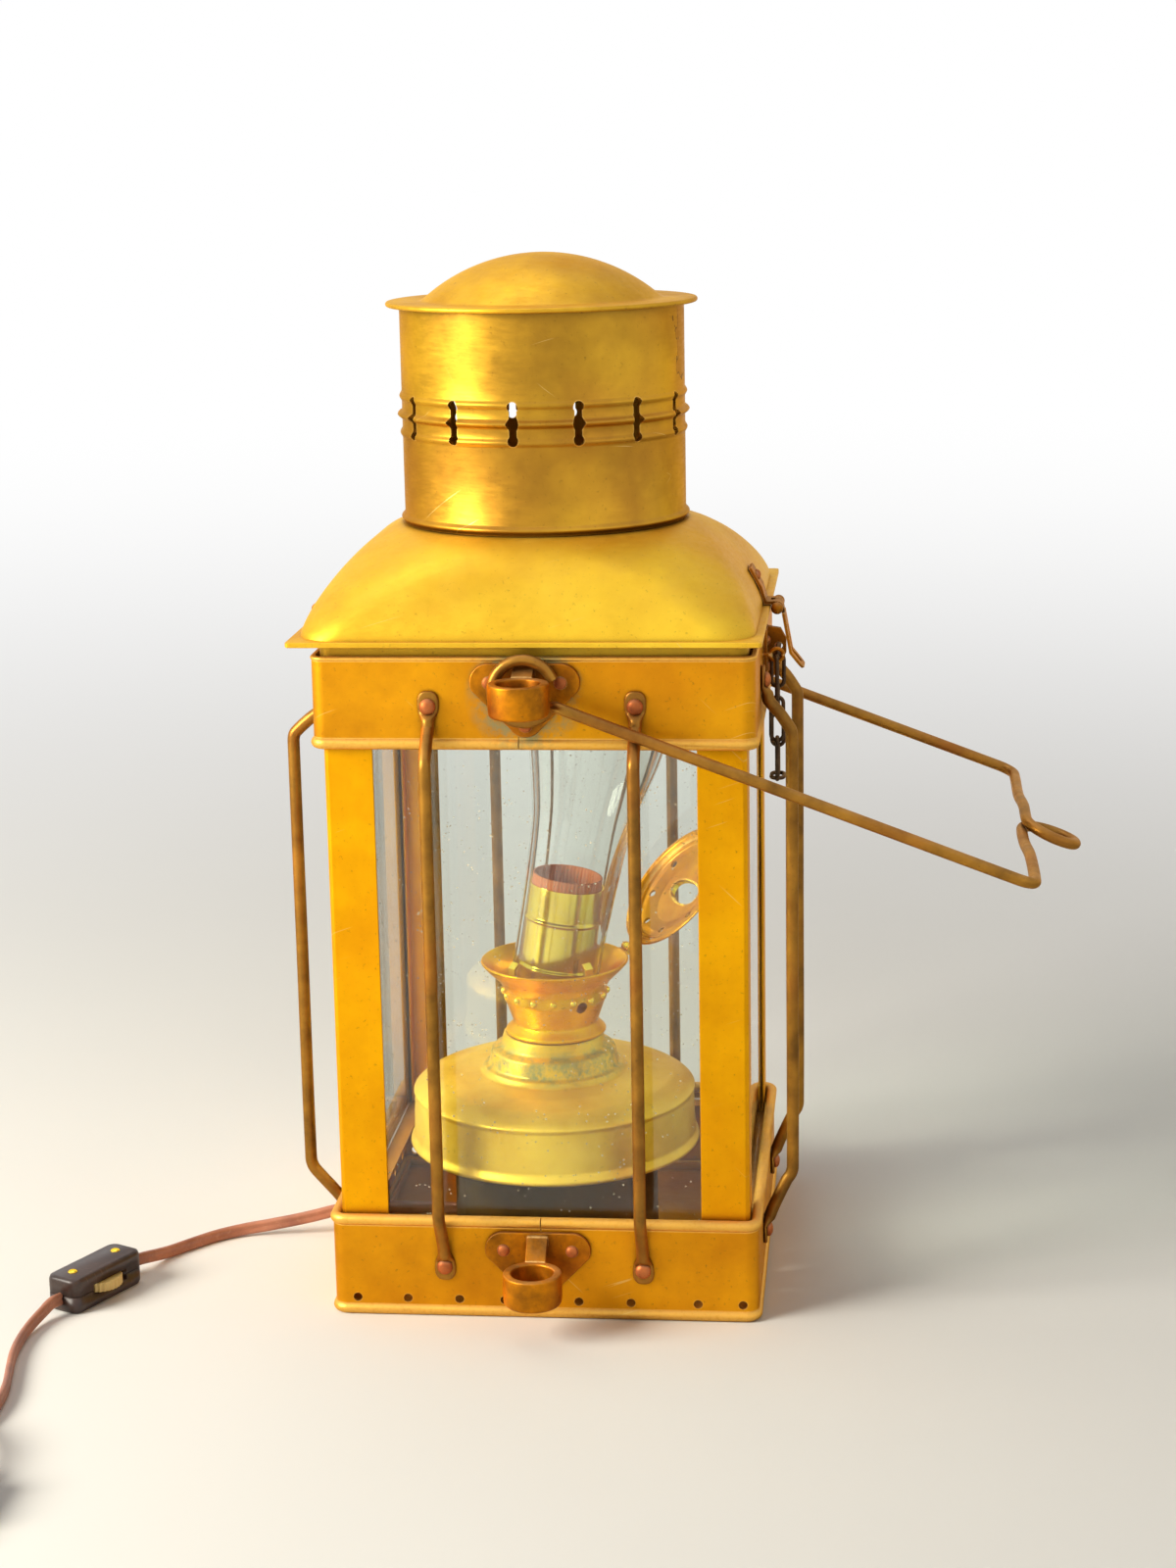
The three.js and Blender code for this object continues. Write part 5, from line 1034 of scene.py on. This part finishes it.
# Bail: one rod bent to two eyes, two arms and a crossbar with a loop
bail = {"radius": 2.2, "eyeInner": 9.45, "eyePlane": 6, "armOut": 11.9, "reach": 200, "rest": 20.7,
        "corner": 7, "loop": 10.75, "eyeFrom": 42, "eyeTo": 345, "sides": 20}
bailJoint = next(j for j in frame["joints"] if j["name"] == "bail_swing")
bailPivot = Vector(bailJoint["pos_m"]) * 1000


def bailLine():
    b = bail
    r, half, eyeY = b["eyeInner"] + b["radius"], house["half"] + b["armOut"], house["half"] + b["eyePlane"]

    def eye(sign):
        run = [(r * math.cos(t), sign * eyeY, r * math.sin(t)) for t in
               (math.radians(b["eyeFrom"] + (b["eyeTo"] - b["eyeFrom"]) * k / 14) for k in range(15))]
        return run + [(12.6, sign * (eyeY + (half - eyeY) / 3), -b["radius"] / 2), (15, sign * half, 0),
                      (20, sign * half, 0)]

    lift, c = (b["radius"] * 2 + space) / 2, b["corner"]
    line = eye(-1) + [(60, -half, 0), (140, -half, 0)]
    line += [(b["reach"] - c + c * math.sin(math.radians(t)), -half + c - c * math.cos(math.radians(t)), 0)
             for t in (0, 30, 60, 90)]
    line += [(b["reach"], -50, 0), (b["reach"], -2 * b["loop"], -lift)]
    line += [(b["reach"] + b["loop"] * (1 - math.cos(t)), b["loop"] * math.sin(t), lift * (t / math.pi - 1))
             for t in (2 * math.pi * k / 15 for k in range(16))]
    line += [(b["reach"], 2 * b["loop"], lift), (b["reach"], 50, 0)]
    line += [(b["reach"] - c + c * math.sin(math.radians(t)), half - c + c * math.cos(math.radians(t)), 0)
             for t in (90, 60, 30, 0)]
    return line + [(140, half, 0), (60, half, 0)] + eye(1)[::-1]


place = shift(*bailPivot) @ spin(bail["rest"], "Y")
bailRod = rodAlong("bailRod", [[place @ p for p in smoothLine(bailLine(), 4)]], bail["radius"],
                   finishes["rodBrass"], bail["sides"])
settle(bailRod, "bail", "rod_brass", "bail")
print("bail made")

# Roof: the square hood drawn up to a round collar
roof = {"shift": -2.7, "flange": 88, "flangeBottom": 264.8, "flangeSheet": 2, "flangeCorner": 1.5,
        "sheet": 1.2, "skirtHalf": 80, "skirtDepth": 8, "base": 85.2, "baseCorner": 16, "top": 56,
        "height": 34, "flare": 1.4, "rounding": 1.25, "collar": 53.6, "collarHeight": 6, "steps": 22,
        "perCorner": 12}
flangeTop = roof["flangeBottom"] + roof["flangeSheet"]
hoodTop = flangeTop + roof["height"]


def hoodAt(turn):
    r = roof
    return (r["top"] + (r["base"] - r["top"]) * math.cos(math.radians(turn)) ** r["flare"],
            flangeTop + r["height"] * math.sin(math.radians(turn)) ** r["flare"])


def hoodShape():
    r, n = roof, roof["perCorner"]
    skirtBottom = r["flangeBottom"] - r["skirtDepth"]

    def level(turn, inset):
        rise = math.sin(math.radians(turn)) ** r["flare"]
        half = hoodAt(turn)[0]
        corner = r["baseCorner"] + (r["top"] - r["baseCorner"]) * rise ** r["rounding"]
        return squareRing(half - inset, min(corner, half) - inset, flangeTop + r["height"] * rise - inset,
                          n, r["shift"])

    turns = [90 * k / r["steps"] for k in range(r["steps"] + 1)]
    inner = r["collar"] - r["sheet"]
    rim = [(r["flange"] - 0.25, r["flangeBottom"]), (r["flange"], r["flangeBottom"] + 0.25),
           (r["flange"], flangeTop - 0.25), (r["flange"] - 0.25, flangeTop)]
    rings = [squareRing(r["skirtHalf"], 5, skirtBottom, n),
             squareRing(r["skirtHalf"], 5, r["flangeBottom"], n)]
    rings += [squareRing(half, r["flangeCorner"], z, n, r["shift"]) for half, z in rim]
    rings += [level(t, 0) for t in turns]
    rings += [squareRing(r["collar"], r["collar"], z, n, r["shift"])
              for z in (hoodTop, hoodTop + r["collarHeight"])]
    rings += [squareRing(inner, inner, z, n, r["shift"])
              for z in (hoodTop + r["collarHeight"], hoodTop - r["sheet"])]
    rings += [level(t, r["sheet"]) for t in turns[1:-1][::-1]]
    rings += [squareRing(r["skirtHalf"] - 1, 5, z, n) for z in (flangeTop, skirtBottom)]
    return skinned(rings, True)


settle(shaped("roofHood", hoodShape(), finishes["hoodBrass"], 40), "roof", "bright_brass", "roof_hood")

# Vent drum: a beaded drum with a ring of keyhole vents
drum = {"radius": 55, "wall": 1, "height": 83.4, "vents": 14, "sides": 168, "phase": 7.3, "beads": (
    (2.1, 1.4, 2.1), (34.8, 0.9, 2.1), (41.8, 1.8, 2.1), (48.8, 0.9, 2.1))}
keyhole = {"centre": 41.8, "height": 16.7, "end": 2.1, "waist": 1.45, "middle": 2.6, "middleHeight": 4.8}
drumBottom = hoodTop + space
drumTop = drumBottom + drum["height"]


def drumShape():
    outer = [(drum["radius"], drumBottom)]
    for z, proud, half in drum["beads"]:
        outer += [(drum["radius"] + proud * (0.5 + 0.5 * math.cos(math.pi * k / 5)),
                   drumBottom + z + half * k / 5)
                  for k in range(-5, 6)]
    outer += [(drum["radius"], drumBottom + z) for z in (58, 66, 74)] + [(drum["radius"], drumTop)]
    outer = [p for k, p in enumerate(outer) if not k or abs(p[1] - outer[k - 1][1]) > 1e-6]
    inner = drum["radius"] - drum["wall"]
    outer += [(inner, z) for z in (drumTop, drumBottom + 50, drumBottom + 34, drumBottom)]
    return turned(outer, drum["sides"])


def keyholeOutline():
    k = keyhole
    endZ, bite = k["height"] / 2 - k["end"], math.degrees(math.acos(k["waist"] / k["end"]))
    right = [(k["waist"], -k["middleHeight"] / 2), (k["middle"] - 0.4, -0.9), (k["middle"], 0),
             (k["middle"] - 0.4, 0.9), (k["waist"], k["middleHeight"] / 2)]
    left = [(-x, -z) for x, z in right]
    return [*right, *arcRun(0, endZ, k["end"], -bite, 180 + bite, 12), *left,
            *arcRun(0, -endZ, k["end"], 180 - bite, 360 + bite, 12)]


ventDrum = shaped("ventDrumWall", drumShape(), finishes["drumBrass"], 40)
keyTool = makeTool("keyholeDie", slab(keyholeOutline(), -6, 6, upright))
keySeats = []
for k in range(drum["vents"]):
    turn = math.radians(drum["phase"] + (k + 0.5) * 360 / drum["vents"])
    out = Vector((math.sin(turn), -math.cos(turn), 0))
    keySeats.append((out * drum["radius"] + Vector((0, 0, drumBottom + keyhole["centre"])), out,
                     Vector((0, 0, 1)).cross(out), 1))
cutAt(ventDrum, keyTool, keySeats, finishes["drumBrass"], 40)
for vertex in ventDrum.data.vertices:
    vertex.co.x += roof["shift"] / 1000
settle(ventDrum, "roof", "brass", "vent_drum")

cap = {"brim": 59.3, "roll": 0.95, "sheet": 1, "dome": 46.5, "rise": 17.6, "skirt": 7}


def capShape():
    # a domed cap with its brim, and the skirt that stands in the drum
    z, skirtOuter = drumTop + space, drum["radius"] - drum["wall"] - space
    sphere = (cap["dome"] ** 2 + cap["rise"] ** 2) / (2 * cap["rise"])
    reach = math.asin(cap["dome"] / sphere)

    def dome(inset, steps):
        return [((sphere - inset) * math.sin(reach * k / steps), z + cap["sheet"] + cap["rise"] - sphere
                 + (sphere - inset) * math.cos(reach * k / steps)) for k in range(steps + 1)]

    rim = arcRun(cap["brim"], z + cap["sheet"] - cap["roll"], cap["roll"], 90, -110, 8)
    brim = softened([dome(0, 18)[-2], dome(0, 18)[-1], (cap["dome"] + 3, z + cap["sheet"]), rim[0]], 1.6, 4,
                    False)[1:-1]
    under = [(skirtOuter, z), (skirtOuter, z - cap["skirt"]), (skirtOuter - cap["sheet"], z - cap["skirt"]),
             (skirtOuter - cap["sheet"], z)]
    return turned(dome(0, 18)[:-1] + brim + rim + under + dome(cap["sheet"], 8)[::-1], 120)


settle(shaped("ventCapDome", movedBy(capShape(), roof["shift"]), finishes["capBrass"], 40), "roof", "brass",
       "vent_cap")
print("roof made")

# Hinge and hasp
hardware = {"knuckleRadius": 2.4, "pinRadius": 1.2, "width": 12.4, "ball": 2.4}
knuckleZ = flangeTop + space + 1.4 - hardware["knuckleRadius"]
knuckleOut = roof["flange"] + space + hardware["knuckleRadius"]


def knucklePin(x):
    h = hardware
    end = h["width"] / 2 + space + h["ball"]
    ball = [(h["ball"] * math.cos(math.radians(t)), end + h["ball"] * math.sin(math.radians(t)))
            for t in (-55, -35, -15, 5, 25, 45, 65, 80)]
    half = [(h["pinRadius"], 0), (h["pinRadius"], ball[0][1])] + ball + [(0, end + h["ball"])]
    whole = [(r, -z) for r, z in half[1:][::-1]] + half[1:]
    return turnedBy(turned(whole, 24), shift(x, 0, knuckleZ) @ spin(90, "X"))


for node, name, sign, body in (("hinge_pin", "hingePin", -1, "house"), ("hasp_pin", "haspPin", 1, "roof")):
    settle(shaped(name, knucklePin(roof["shift"] + sign * knuckleOut), finishes["castBrass"]), body,
           "brass", node)
for node, name, body in (("hinge_strap", "hingeStrap", "roof"), ("hasp_strap", "haspStrap", "roof"),
                         ("hinge_leaf", "hingeLeaf", "house"), ("hasp_leaf", "haspLeaf", "hasp_leaf"),
                         ("hasp_staple", "haspStaple", "house")):
    dressed(node, name, "castBrass", "brass", 0.25, 36, body)

strapRivets = []
(x0, z0), (x1, z1) = hoodAt(32), hoodAt(18)
slope = Vector((x1 - x0, 0, z1 - z0)).normalized()
outward = Vector((-slope.z, 0, slope.x))
for sign in (1, -1):
    for y in (-3.1, 3.1):
        point = Vector(((x0 + x1) / 2 + space, y, (z0 + z1) / 2 + space)) + outward * 1.5
        point.x = sign * point.x + roof["shift"]
        strapRivets.append((point, (sign * outward.x, 0, outward.z), (0, 1, 0), 0.55))
seatedPieces("strapRivets", rivetHead, strapRivets, finishes["copperRivet"], "roof", "copper")
leafOut = -(house["half"] + space + 1.2)
bandRivets = [((leafOut, y, z), (-1, 0, 0), (0, 1, 0), 0.6)
              for y, z in ((-3, 246.6), (3, 246.6), (0, 239.8))]
footOut = house["half"] + space + 1.4
bandRivets += [((footOut, -6, z), (1, 0, 0), (0, 1, 0), 0.62) for z in (242.6, 252.9)]
seatedPieces("bandRivets", rivetHead, bandRivets, finishes["copperRivet"], "house", "copper")
print("hinge and hasp made")

# Split pin and chain of bent links
chain = {"wire": 0.8, "eye": 2.4, "bite": 0.3, "halfWidth": 2.4, "pin": 1, "depth": 47,
         "spread": 8.5, "x": 88.3, "z": 249.8, "eyeY": -11.5}
stations = ((0, 0), (0, 0.25), (0, 0.5), (0, 0.75), (0, 1), (1, 1), (1, 0.67), (1, 0.33), (1, 0))


def chainSeats():
    c = chain
    half = c["wire"] - c["bite"] / 2
    start = c["z"] - c["eye"] + half
    spots = [Vector((c["x"], c["eyeY"] - c["spread"] * a, start - d * c["depth"])) for a, d in stations]
    spots[-1].z = c["z"] - c["eye"] + 2 * c["wire"] + space - half
    seats = []
    for i, (a, b) in enumerate(zip(spots, spots[1:])):
        along = (b - a).normalized()
        facing = Vector((1, 0, 0)) if i % 2 else along.cross(Vector((1, 0, 0)))
        seats.append((a, b, along, facing, half))
    return seats


def linkLine(a, b, along, facing, half):
    inset = chain["halfWidth"] - half
    start, end = a + along * inset, b - along * inset
    side = along.cross(facing)
    run = []
    for centre, sign in ((end, 1), (start, -1)):
        for k in range(9):
            turn = math.radians(90 - 180 * k / 8)
            run.append(centre + side * sign * chain["halfWidth"] * math.sin(turn)
                       + along * sign * chain["halfWidth"] * math.cos(turn))
    return run + [run[0], run[1]]


def ringLine(y, wide):
    c = chain
    return [Vector((c["x"] + c["eye"] * math.cos(t) * (not wide), y + c["eye"] * math.cos(t) * wide,
                    c["z"] + c["eye"] * math.sin(t))) for t in (2 * math.pi * k / 20 for k in range(21))]


linkLines = [linkLine(*seat) for seat in chainSeats()]
pinLines = [[Vector((chain["x"], y, chain["z"])) for y in (chain["eyeY"] + chain["eye"], 0, 6)]]
chainPiece = rodAlong("pinChain", linkLines + [ringLine(chain["eyeY"], True)], chain["wire"],
                      finishes["darkIron"], 10)
settle(chainPiece, "pin_chain", "iron", "pin_chain")
settle(rodAlong("splitPin", pinLines, chain["pin"], finishes["darkIron"], 14), "pin_chain", "iron")
farY = chain["eyeY"] - chain["spread"]
eyePiece = rodAlong("chainEye",
                    [ringLine(farY, False),
                     [Vector((82.8, farY, chain["z"])), Vector((86.4, farY, chain["z"]))]], chain["wire"],
                    finishes["castBrass"], 12)
settle(eyePiece, "house", "copper", "chain_eye")
print("chain made")

# Lamp: font, burner, socket, chimney and crown
lampX = -4.2
galleryX = -3.0
font = {"bottom": 44, "rim": 59.3, "side": 57.2, "seam": 68.5, "wall": 1.2, "collar": 20.2,
        "collarTop": 90.5, "bore": 14, "first": 29, "firstTop": 77, "second": 25.2, "secondTop": 84,
        "base": 30, "baseZ": 74.8}


def fontShape():
    f, w, b = font, font["wall"], font["bottom"]
    rise, dome, step = f["seam"] - b, f["baseZ"] - f["seam"], f["side"] - f["base"]
    outer = [(0, b), (f["rim"] - 2 * w, b), (f["rim"], b + w), (f["rim"], b + 2 * w),
             (f["side"] + w / 2, b + 4 * w), (f["side"], b + rise * 0.88),
             (f["side"] + w / 2, b + rise * 0.95), (f["side"] - w, f["seam"] + w / 2),
             (f["side"] - step * 0.15, f["seam"] + dome * 0.36),
             (f["side"] - step * 0.3, f["seam"] + dome * 0.62),
             (f["side"] - step * 0.62, f["seam"] + dome * 0.9), (f["base"], f["baseZ"]),
             (f["first"], f["baseZ"] + w), (f["first"] - w / 2, f["firstTop"]),
             (f["second"] + w, f["firstTop"] + w / 2), (f["second"], f["secondTop"]),
             (f["collar"] + w, f["secondTop"] + w), (f["collar"], f["collarTop"]),
             (f["bore"], f["collarTop"])]
    inner = [(f["bore"], f["baseZ"]), (f["base"], f["baseZ"] - 2 * w), (f["side"] - 2 * w, f["seam"] - w),
             (f["side"] - 2 * w, b + w), (0, b + w)]
    return turned(softened(outer + inner, 1.1, 4, False), 112)


settle(shaped("oilFont", movedBy(fontShape(), lampX), finishes["fontBrass"]), "house", "brass", "font")

burner = {"base": 20.4, "seat": 90.8, "waist": 17.2, "waistZ": 95.2, "row": 21, "rowZ": 107.5, "rim": 30,
          "rimZ": 121, "sheet": 1.1, "floor": 19.5, "floorZ": 109.5, "dots": 16, "dotPhase": 4,
          "shaftHole": 2.4, "shaftTurn": -52.6, "shaftZ": 105}


def burnerShape():
    b, t = burner, burner["sheet"]
    dish = [(b["floor"] + 2 * t, b["floorZ"] + 3 * t), (b["rim"] - 3 * t, b["rimZ"] - 2 * t)]
    rim = arcRun(b["rim"] - 0.55, b["rimZ"] - 0.55, 0.55, -60, 150, 6)
    profile = [(0, b["seat"]), (b["base"], b["seat"]), (b["base"], b["seat"] + t),
               (b["base"] - 1.2, b["seat"] + 2 * t), (b["waist"], b["waistZ"]),
               (b["waist"] + t, b["waistZ"] + 3 * t), (b["row"] - t, b["rowZ"] - 4 * t),
               (b["row"], b["rowZ"] - 2 * t), (b["row"], b["rowZ"] + 2 * t),
               (b["floor"] + 3 * t, b["floorZ"] + 3 * t), (b["rim"] - 2 * t, b["rimZ"] - 3 * t), *rim,
               *dish[::-1], (b["floor"], b["floorZ"]), (0, b["floorZ"])]
    return movedBy(turned(softened(profile, 0.9, 3, False), 96), galleryX)


burnerShell = shaped("burnerShell", burnerShape(), finishes["burnerBrass"])
shaftDrill = makeDrill("shaftDrill", burner["shaftHole"], 6, 28)
shaftOut = pointing(burner["shaftTurn"])
shaftFoot = Vector((galleryX, 0, burner["shaftZ"])) + shaftOut * 18
cutAt(burnerShell, shaftDrill, [(shaftFoot, shaftOut, (0, 0, 1), 1)], finishes["burnerBrass"])
settle(burnerShell, "house", "bright_brass", "burner")
dotHead = makeTool("burnerDot",
                   turned([(0, -0.5), (1.5, -0.5), (1.5, 0.15), (1.2, 0.8), (0.7, 1.15), (0, 1.3)], 14))
dotSeats = []
for k in range(burner["dots"]):
    out = pointing(burner["dotPhase"] + 360 * k / burner["dots"])
    dotSeats.append((Vector((galleryX, 0, burner["rowZ"])) + out * burner["row"], out, (0, 0, 1), 1))
seatedPieces("burnerDots", dotHead, dotSeats, finishes["socketBrass"], "house", "bright_brass")


def acrossY(u, v, w):
    return (u, w, v)


prong = {"width": 4, "sheet": 0.9, "radius": 22.4, "height": 8, "lean": 2.2, "low": 113.1}
prongs = []
for turn in (45, 135, 225, 315):
    p = prong
    side = strip([(p["radius"], p["low"]), (p["radius"], p["low"] + p["height"]),
                  (p["radius"] - p["lean"], p["low"] + p["height"] + p["lean"])], p["sheet"])
    one = slab(side, -p["width"] / 2, p["width"] / 2, acrossY)
    prongs.append(turnedBy(one, shift(galleryX) @ spin(turn, "Z")))
settle(edged(shaped("galleryProngs", together(*prongs), finishes["socketBrass"]), 0.2), "house",
       "bright_brass")

crown = {"radius": 29, "depth": 6, "sheet": 1, "open": 48.6, "turn": 27.6, "out": 32.6, "z": 121.3,
         "hinge": 1.9, "reach": 3.2, "ring": 20, "hole": 1.6, "holes": 8, "slotLength": 11.5,
         "slotWidth": 5, "rim": 0.9}
onGallery = shift(galleryX) @ spin(crown["turn"], "Z")
ears = []
for sign in (-1, 1):
    low, high = sorted((sign * 2, sign * 3.5))
    ears.append(slab(arcRun(crown["out"], crown["z"], crown["hinge"], 0, 345, 23), low, high, acrossY))
    ears.append(slab([(crown["out"] - 3.7, 119.1), (crown["out"], 119.4), (crown["out"], 121),
                      (crown["out"] - 3.7, 121)], low, high, acrossY))
ears.append(slab(arcRun(crown["out"], crown["z"], 0.9, 0, 330, 11), -3.5, 3.5, acrossY))
ears = turnedBy(together(*ears), onGallery)
settle(edged(shaped("crownEars", ears, finishes["burnerBrass"]), 0.2, 50), "house", "bright_brass")


def crownPlace():
    opened = onGallery @ shift(crown["out"], 0, crown["z"]) @ spin(-crown["open"], "Y")
    return opened @ shift(crown["radius"] + crown["reach"]) @ spin(180, "X")


def crownDish():
    c = crown
    r, d, t = c["radius"], c["depth"], c["sheet"]
    # a sloping flange, a ridge where it meets the dish, and the shallow dish itself
    outer = [(0, d + 0.6), (8, d + 0.4), (15, d - 0.4), (21, d - 2), (24.2, d - 3.2), (r - 2, t),
             (r - 0.4, t), (r, t / 2), (r - 0.4, 0), (r - 2.4, 0.1), (25, 2.2), (24.5, 1.7), (23.8, 1.8),
             (23.2, 2.8), (20.5, d - 3.1), (15, d - t - 0.4), (8, d - t + 0.4), (0, d - t + 0.6)]
    return turned(softened(outer, 0.5, 3, False), 96)


def lens(length, width, steps=10):
    # the wick's slot: two shallow curves that meet at its ends
    upper = [(width * math.sin(math.pi * k / steps) ** 0.8, length * math.cos(math.pi * k / steps))
             for k in range(steps + 1)]
    return upper + [(-x, -y) for x, y in upper[1:-1]]


dish = shaped("crownDish", crownDish(), finishes["crownBrass"])
crownDrill = makeDrill("crownDrill", crown["hole"], 9, 20)
crownSeats = []
for k in range(crown["holes"]):
    turn = math.radians((k + 0.5) * 360 / crown["holes"])
    crownSeats.append(((crown["ring"] * math.cos(turn), crown["ring"] * math.sin(turn), crown["depth"]),
                       (0, 0, 1), (1, 0, 0), 1))
cutAt(dish, crownDrill, crownSeats, finishes["crownBrass"])
slotTool = makeTool("crownSlotDie", slab(lens(crown["slotLength"], crown["slotWidth"]), -9, 20, upright))
cutAt(dish, slotTool, here, finishes["crownBrass"])
innerLens = lens(crown["slotLength"], crown["slotWidth"])
outerLens = lens(crown["slotLength"] + crown["rim"], crown["slotWidth"] + crown["rim"])
lipRings = [[(u, v, crown["depth"] + z) for u, v in ring]
            for ring, z in ((outerLens, -0.6), (outerLens, 1.7), (innerLens, 1.9), (innerLens, -0.6))]
knob = slab(arcRun(-crown["radius"] - crown["reach"], 0, crown["hinge"], 0, 345, 23), -1.7, 1.7, acrossY)
tongue = slab([(-32, 0), (-28, 0), (-28, 1), (-32, 1)], -1.7, 1.7, acrossY)
catch = slab([(28.5, 0), (31.5, 0), (31.5, 1), (28.5, 1)], -1.5, 1.5, acrossY)
fittings = edged(shaped("crownFittings", together(skinned(lipRings, True), knob, tongue, catch),
                        finishes["socketBrass"]), 0.2, 50)
for piece in (dish, fittings):
    piece.data.transform(Matrix.Scale(0.001, 4) @ crownPlace() @ Matrix.Scale(1000, 4))
    settle(piece, "burner_crown", "brass")
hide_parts("burner_crown")

# Lamp socket, a little crooked in the gallery
socket = {"radius": 15.1, "wall": 0.7, "height": 41, "lean": 8, "bead": 0.85}
footZ = burner["floorZ"] + space + socket["radius"] * math.sin(math.radians(socket["lean"]))
leaned = shift(galleryX, 0, footZ) @ spin(socket["lean"], "Y")


def socketProfile():
    s = socket

    def ridge(z):
        return [(s["radius"] + s["bead"] * (0.5 + 0.5 * math.cos(math.pi * k / 4)), z + 1.3 * k / 4)
                for k in range(-4, 5)]

    inner = s["radius"] - s["wall"]
    return [(0, 0), (s["radius"], 0), *ridge(s["height"] / 6), *ridge(s["height"] * 0.66),
            (s["radius"], s["height"]), (inner, s["height"]), (inner, s["wall"]), (0, s["wall"])]


def leaning(name, profile, finish, slot, node, sides=80, sharp=38):
    return settle(shaped(name, turnedBy(turned(profile, sides), leaned), finish, sharp), "house", slot,
                  node)


leaning("socketShell", softened(socketProfile(), 0.2, 2, False), finishes["socketBrass"], "bright_brass",
        "socket_shell")
cardOuter = socket["radius"] - socket["wall"] - space
cardFinishMade = cardFinish("ribbedCard", {"light": (255, 170, 104), "shade": (232, 124, 66), "ribs": 56,
                                           "centre": (galleryX, 0, footZ), "lean": socket["lean"]})
leaning("socketLiner",
        softened([(cardOuter, 1), (cardOuter, 45), (cardOuter - 0.8, 45), (cardOuter - 0.8, 1)], 0.25, 2),
        cardFinishMade, "card", "socket_liner")
sleeveOuter = cardOuter - 1.1
sleeve = [(0, 1), (sleeveOuter, 1), (sleeveOuter, 37)]
threads = [(sleeveOuter - 0.6 - 0.35 * (0.5 + 0.5 * math.cos(math.pi * z / 1.8)), 37 - z) for z in
           (0.6 * k for k in range(1, 40))]
leaning("socketSleeve", sleeve + [(sleeveOuter - 0.6, 37)] + threads + [(0, 13)], finishes["socketBrass"],
        "bright_brass", "socket_sleeve", 64)
leaning("socketContact", softened([(0, 13.3), (4.5, 13.3), (3.6, 15.3), (0, 15.3)], 0.4, 3, False),
        finishes["copperRivet"], "copper", "socket_contact", 32)

chimney = {"wall": 1.1, "length": 148, "lean": 11, "base": 17.7, "bulge": 27.5, "mouth": 19.5}
chimneyShares = ((0, 0), (0.1, 0.02), (0.28, 0.1), (0.44, 0.26), (0.54, 0.55), (0.63, 0.86), (0.7, 1),
                 (0.77, 0.93), (0.86, 0.6), (0.94, 0.28))


def chimneyShape():
    c = chimney
    line = [(c["base"] + (c["bulge"] - c["base"]) * out, c["length"] * along, 0)
            for along, out in chimneyShares]
    line.append((c["mouth"], c["length"], 0))
    outer = [(p.x, p.y) for p in smoothLine(line, 5)]
    inner = [(r - c["wall"], z) for r, z in outer][::-1]
    return turned(outer[:-1] + softened([outer[-2], outer[-1], inner[0], inner[1]], 0.4, 3, False)[1:-1]
                  + inner[1:], 96)


chimneyZ = burner["floorZ"] + space + chimney["base"] * math.sin(math.radians(chimney["lean"]))
chimneyPlace = shift(galleryX - 0.3, 0, chimneyZ) @ spin(chimney["lean"], "Y")
settle(shaped("lampChimney", turnedBy(chimneyShape(), chimneyPlace), finishes["chimneyGlass"], 60), "house",
       "glass", "chimney")
print("lamp made")

# Studio
for tool in tools:
    bpy.data.objects.remove(tool)

studio = {"floor": (240, 238, 234), "key": 100, "fill": 5, "top": 16, "sky": 0.22}


def studioFloor():
    # a pale floor that fades into the pale background far from the object
    material, tree, surface, place = newMaterial("paleFloor")
    cloudy = ranged(tree, noiseAt(tree, place, 3, 3), 0.3, 0.7)
    tree.links.new(blended(tree, cloudy, tone(*(c - 3 for c in studio["floor"])), tone(*studio["floor"])),
                   surface.inputs["Base Color"])
    surface.inputs["Roughness"].default_value = 0.9
    away = addNode(tree, "ShaderNodeVectorMath", {0: place}, operation="LENGTH").outputs["Value"]
    white = addNode(tree, "ShaderNodeEmission", {"Color": (1, 1, 1, 1), "Strength": 1.0})
    further = addNode(tree, "ShaderNodeMath", {0: away, 1: 1.1}, operation="ADD").outputs[0]
    nearness = maths(tree, 1.0, further, "DIVIDE")
    fade = ranged(tree, nearness, 0.72, 0.22, interpolation_type="SMOOTHSTEP")
    far = maths(tree, fade, seenRays(tree))
    both = addNode(tree, "ShaderNodeMixShader", {0: far, 1: surface.outputs[0], 2: white.outputs[0]})
    tree.links.new(both.outputs[0], tree.nodes["Material Output"].inputs["Surface"])
    mesh = bpy.data.meshes.new("studioFloor")
    mesh.from_pydata([(-30, -30, 0), (30, -30, 0), (30, 30, 0), (-30, 30, 0)], [], [(0, 1, 2, 3)])
    mesh.materials.append(material)
    placed("studioFloor", mesh)


def softLamp(name, place, size, power, colour):
    # a large soft globe, so that the floor has no edge of light on any side
    light = bpy.data.lights.new(name, "POINT")
    light.shadow_soft_size, light.energy, light.color = size / 2, power, colour
    placed(name, light).location = place


def studioWorld():
    world = bpy.data.worlds.new("studioWorld")
    world.use_nodes = True
    scene.world = world
    tree = world.node_tree
    soft = addNode(tree, "ShaderNodeBackground", {"Color": (1, 0.985, 0.96, 1), "Strength": studio["sky"]})
    white = addNode(tree, "ShaderNodeBackground", {"Color": (1, 1, 1, 1), "Strength": 1.0})
    both = addNode(tree, "ShaderNodeMixShader", {0: seenRays(tree), 1: soft.outputs[0], 2: white.outputs[0]})
    tree.links.new(both.outputs[0], tree.nodes["World Output"].inputs["Surface"])


studioFloor()
softLamp("keyLamp", (-1.1, -0.65, 0.7), 0.7, studio["key"], (1, 0.96, 0.84))
softLamp("fillLamp", (1.5, -0.9, 0.8), 1.2, studio["fill"], (0.95, 0.97, 1))
softLamp("topLamp", (-0.3, 0.3, 1.7), 1.0, studio["top"], (1, 0.98, 0.95))
studioWorld()

print("scene ready")
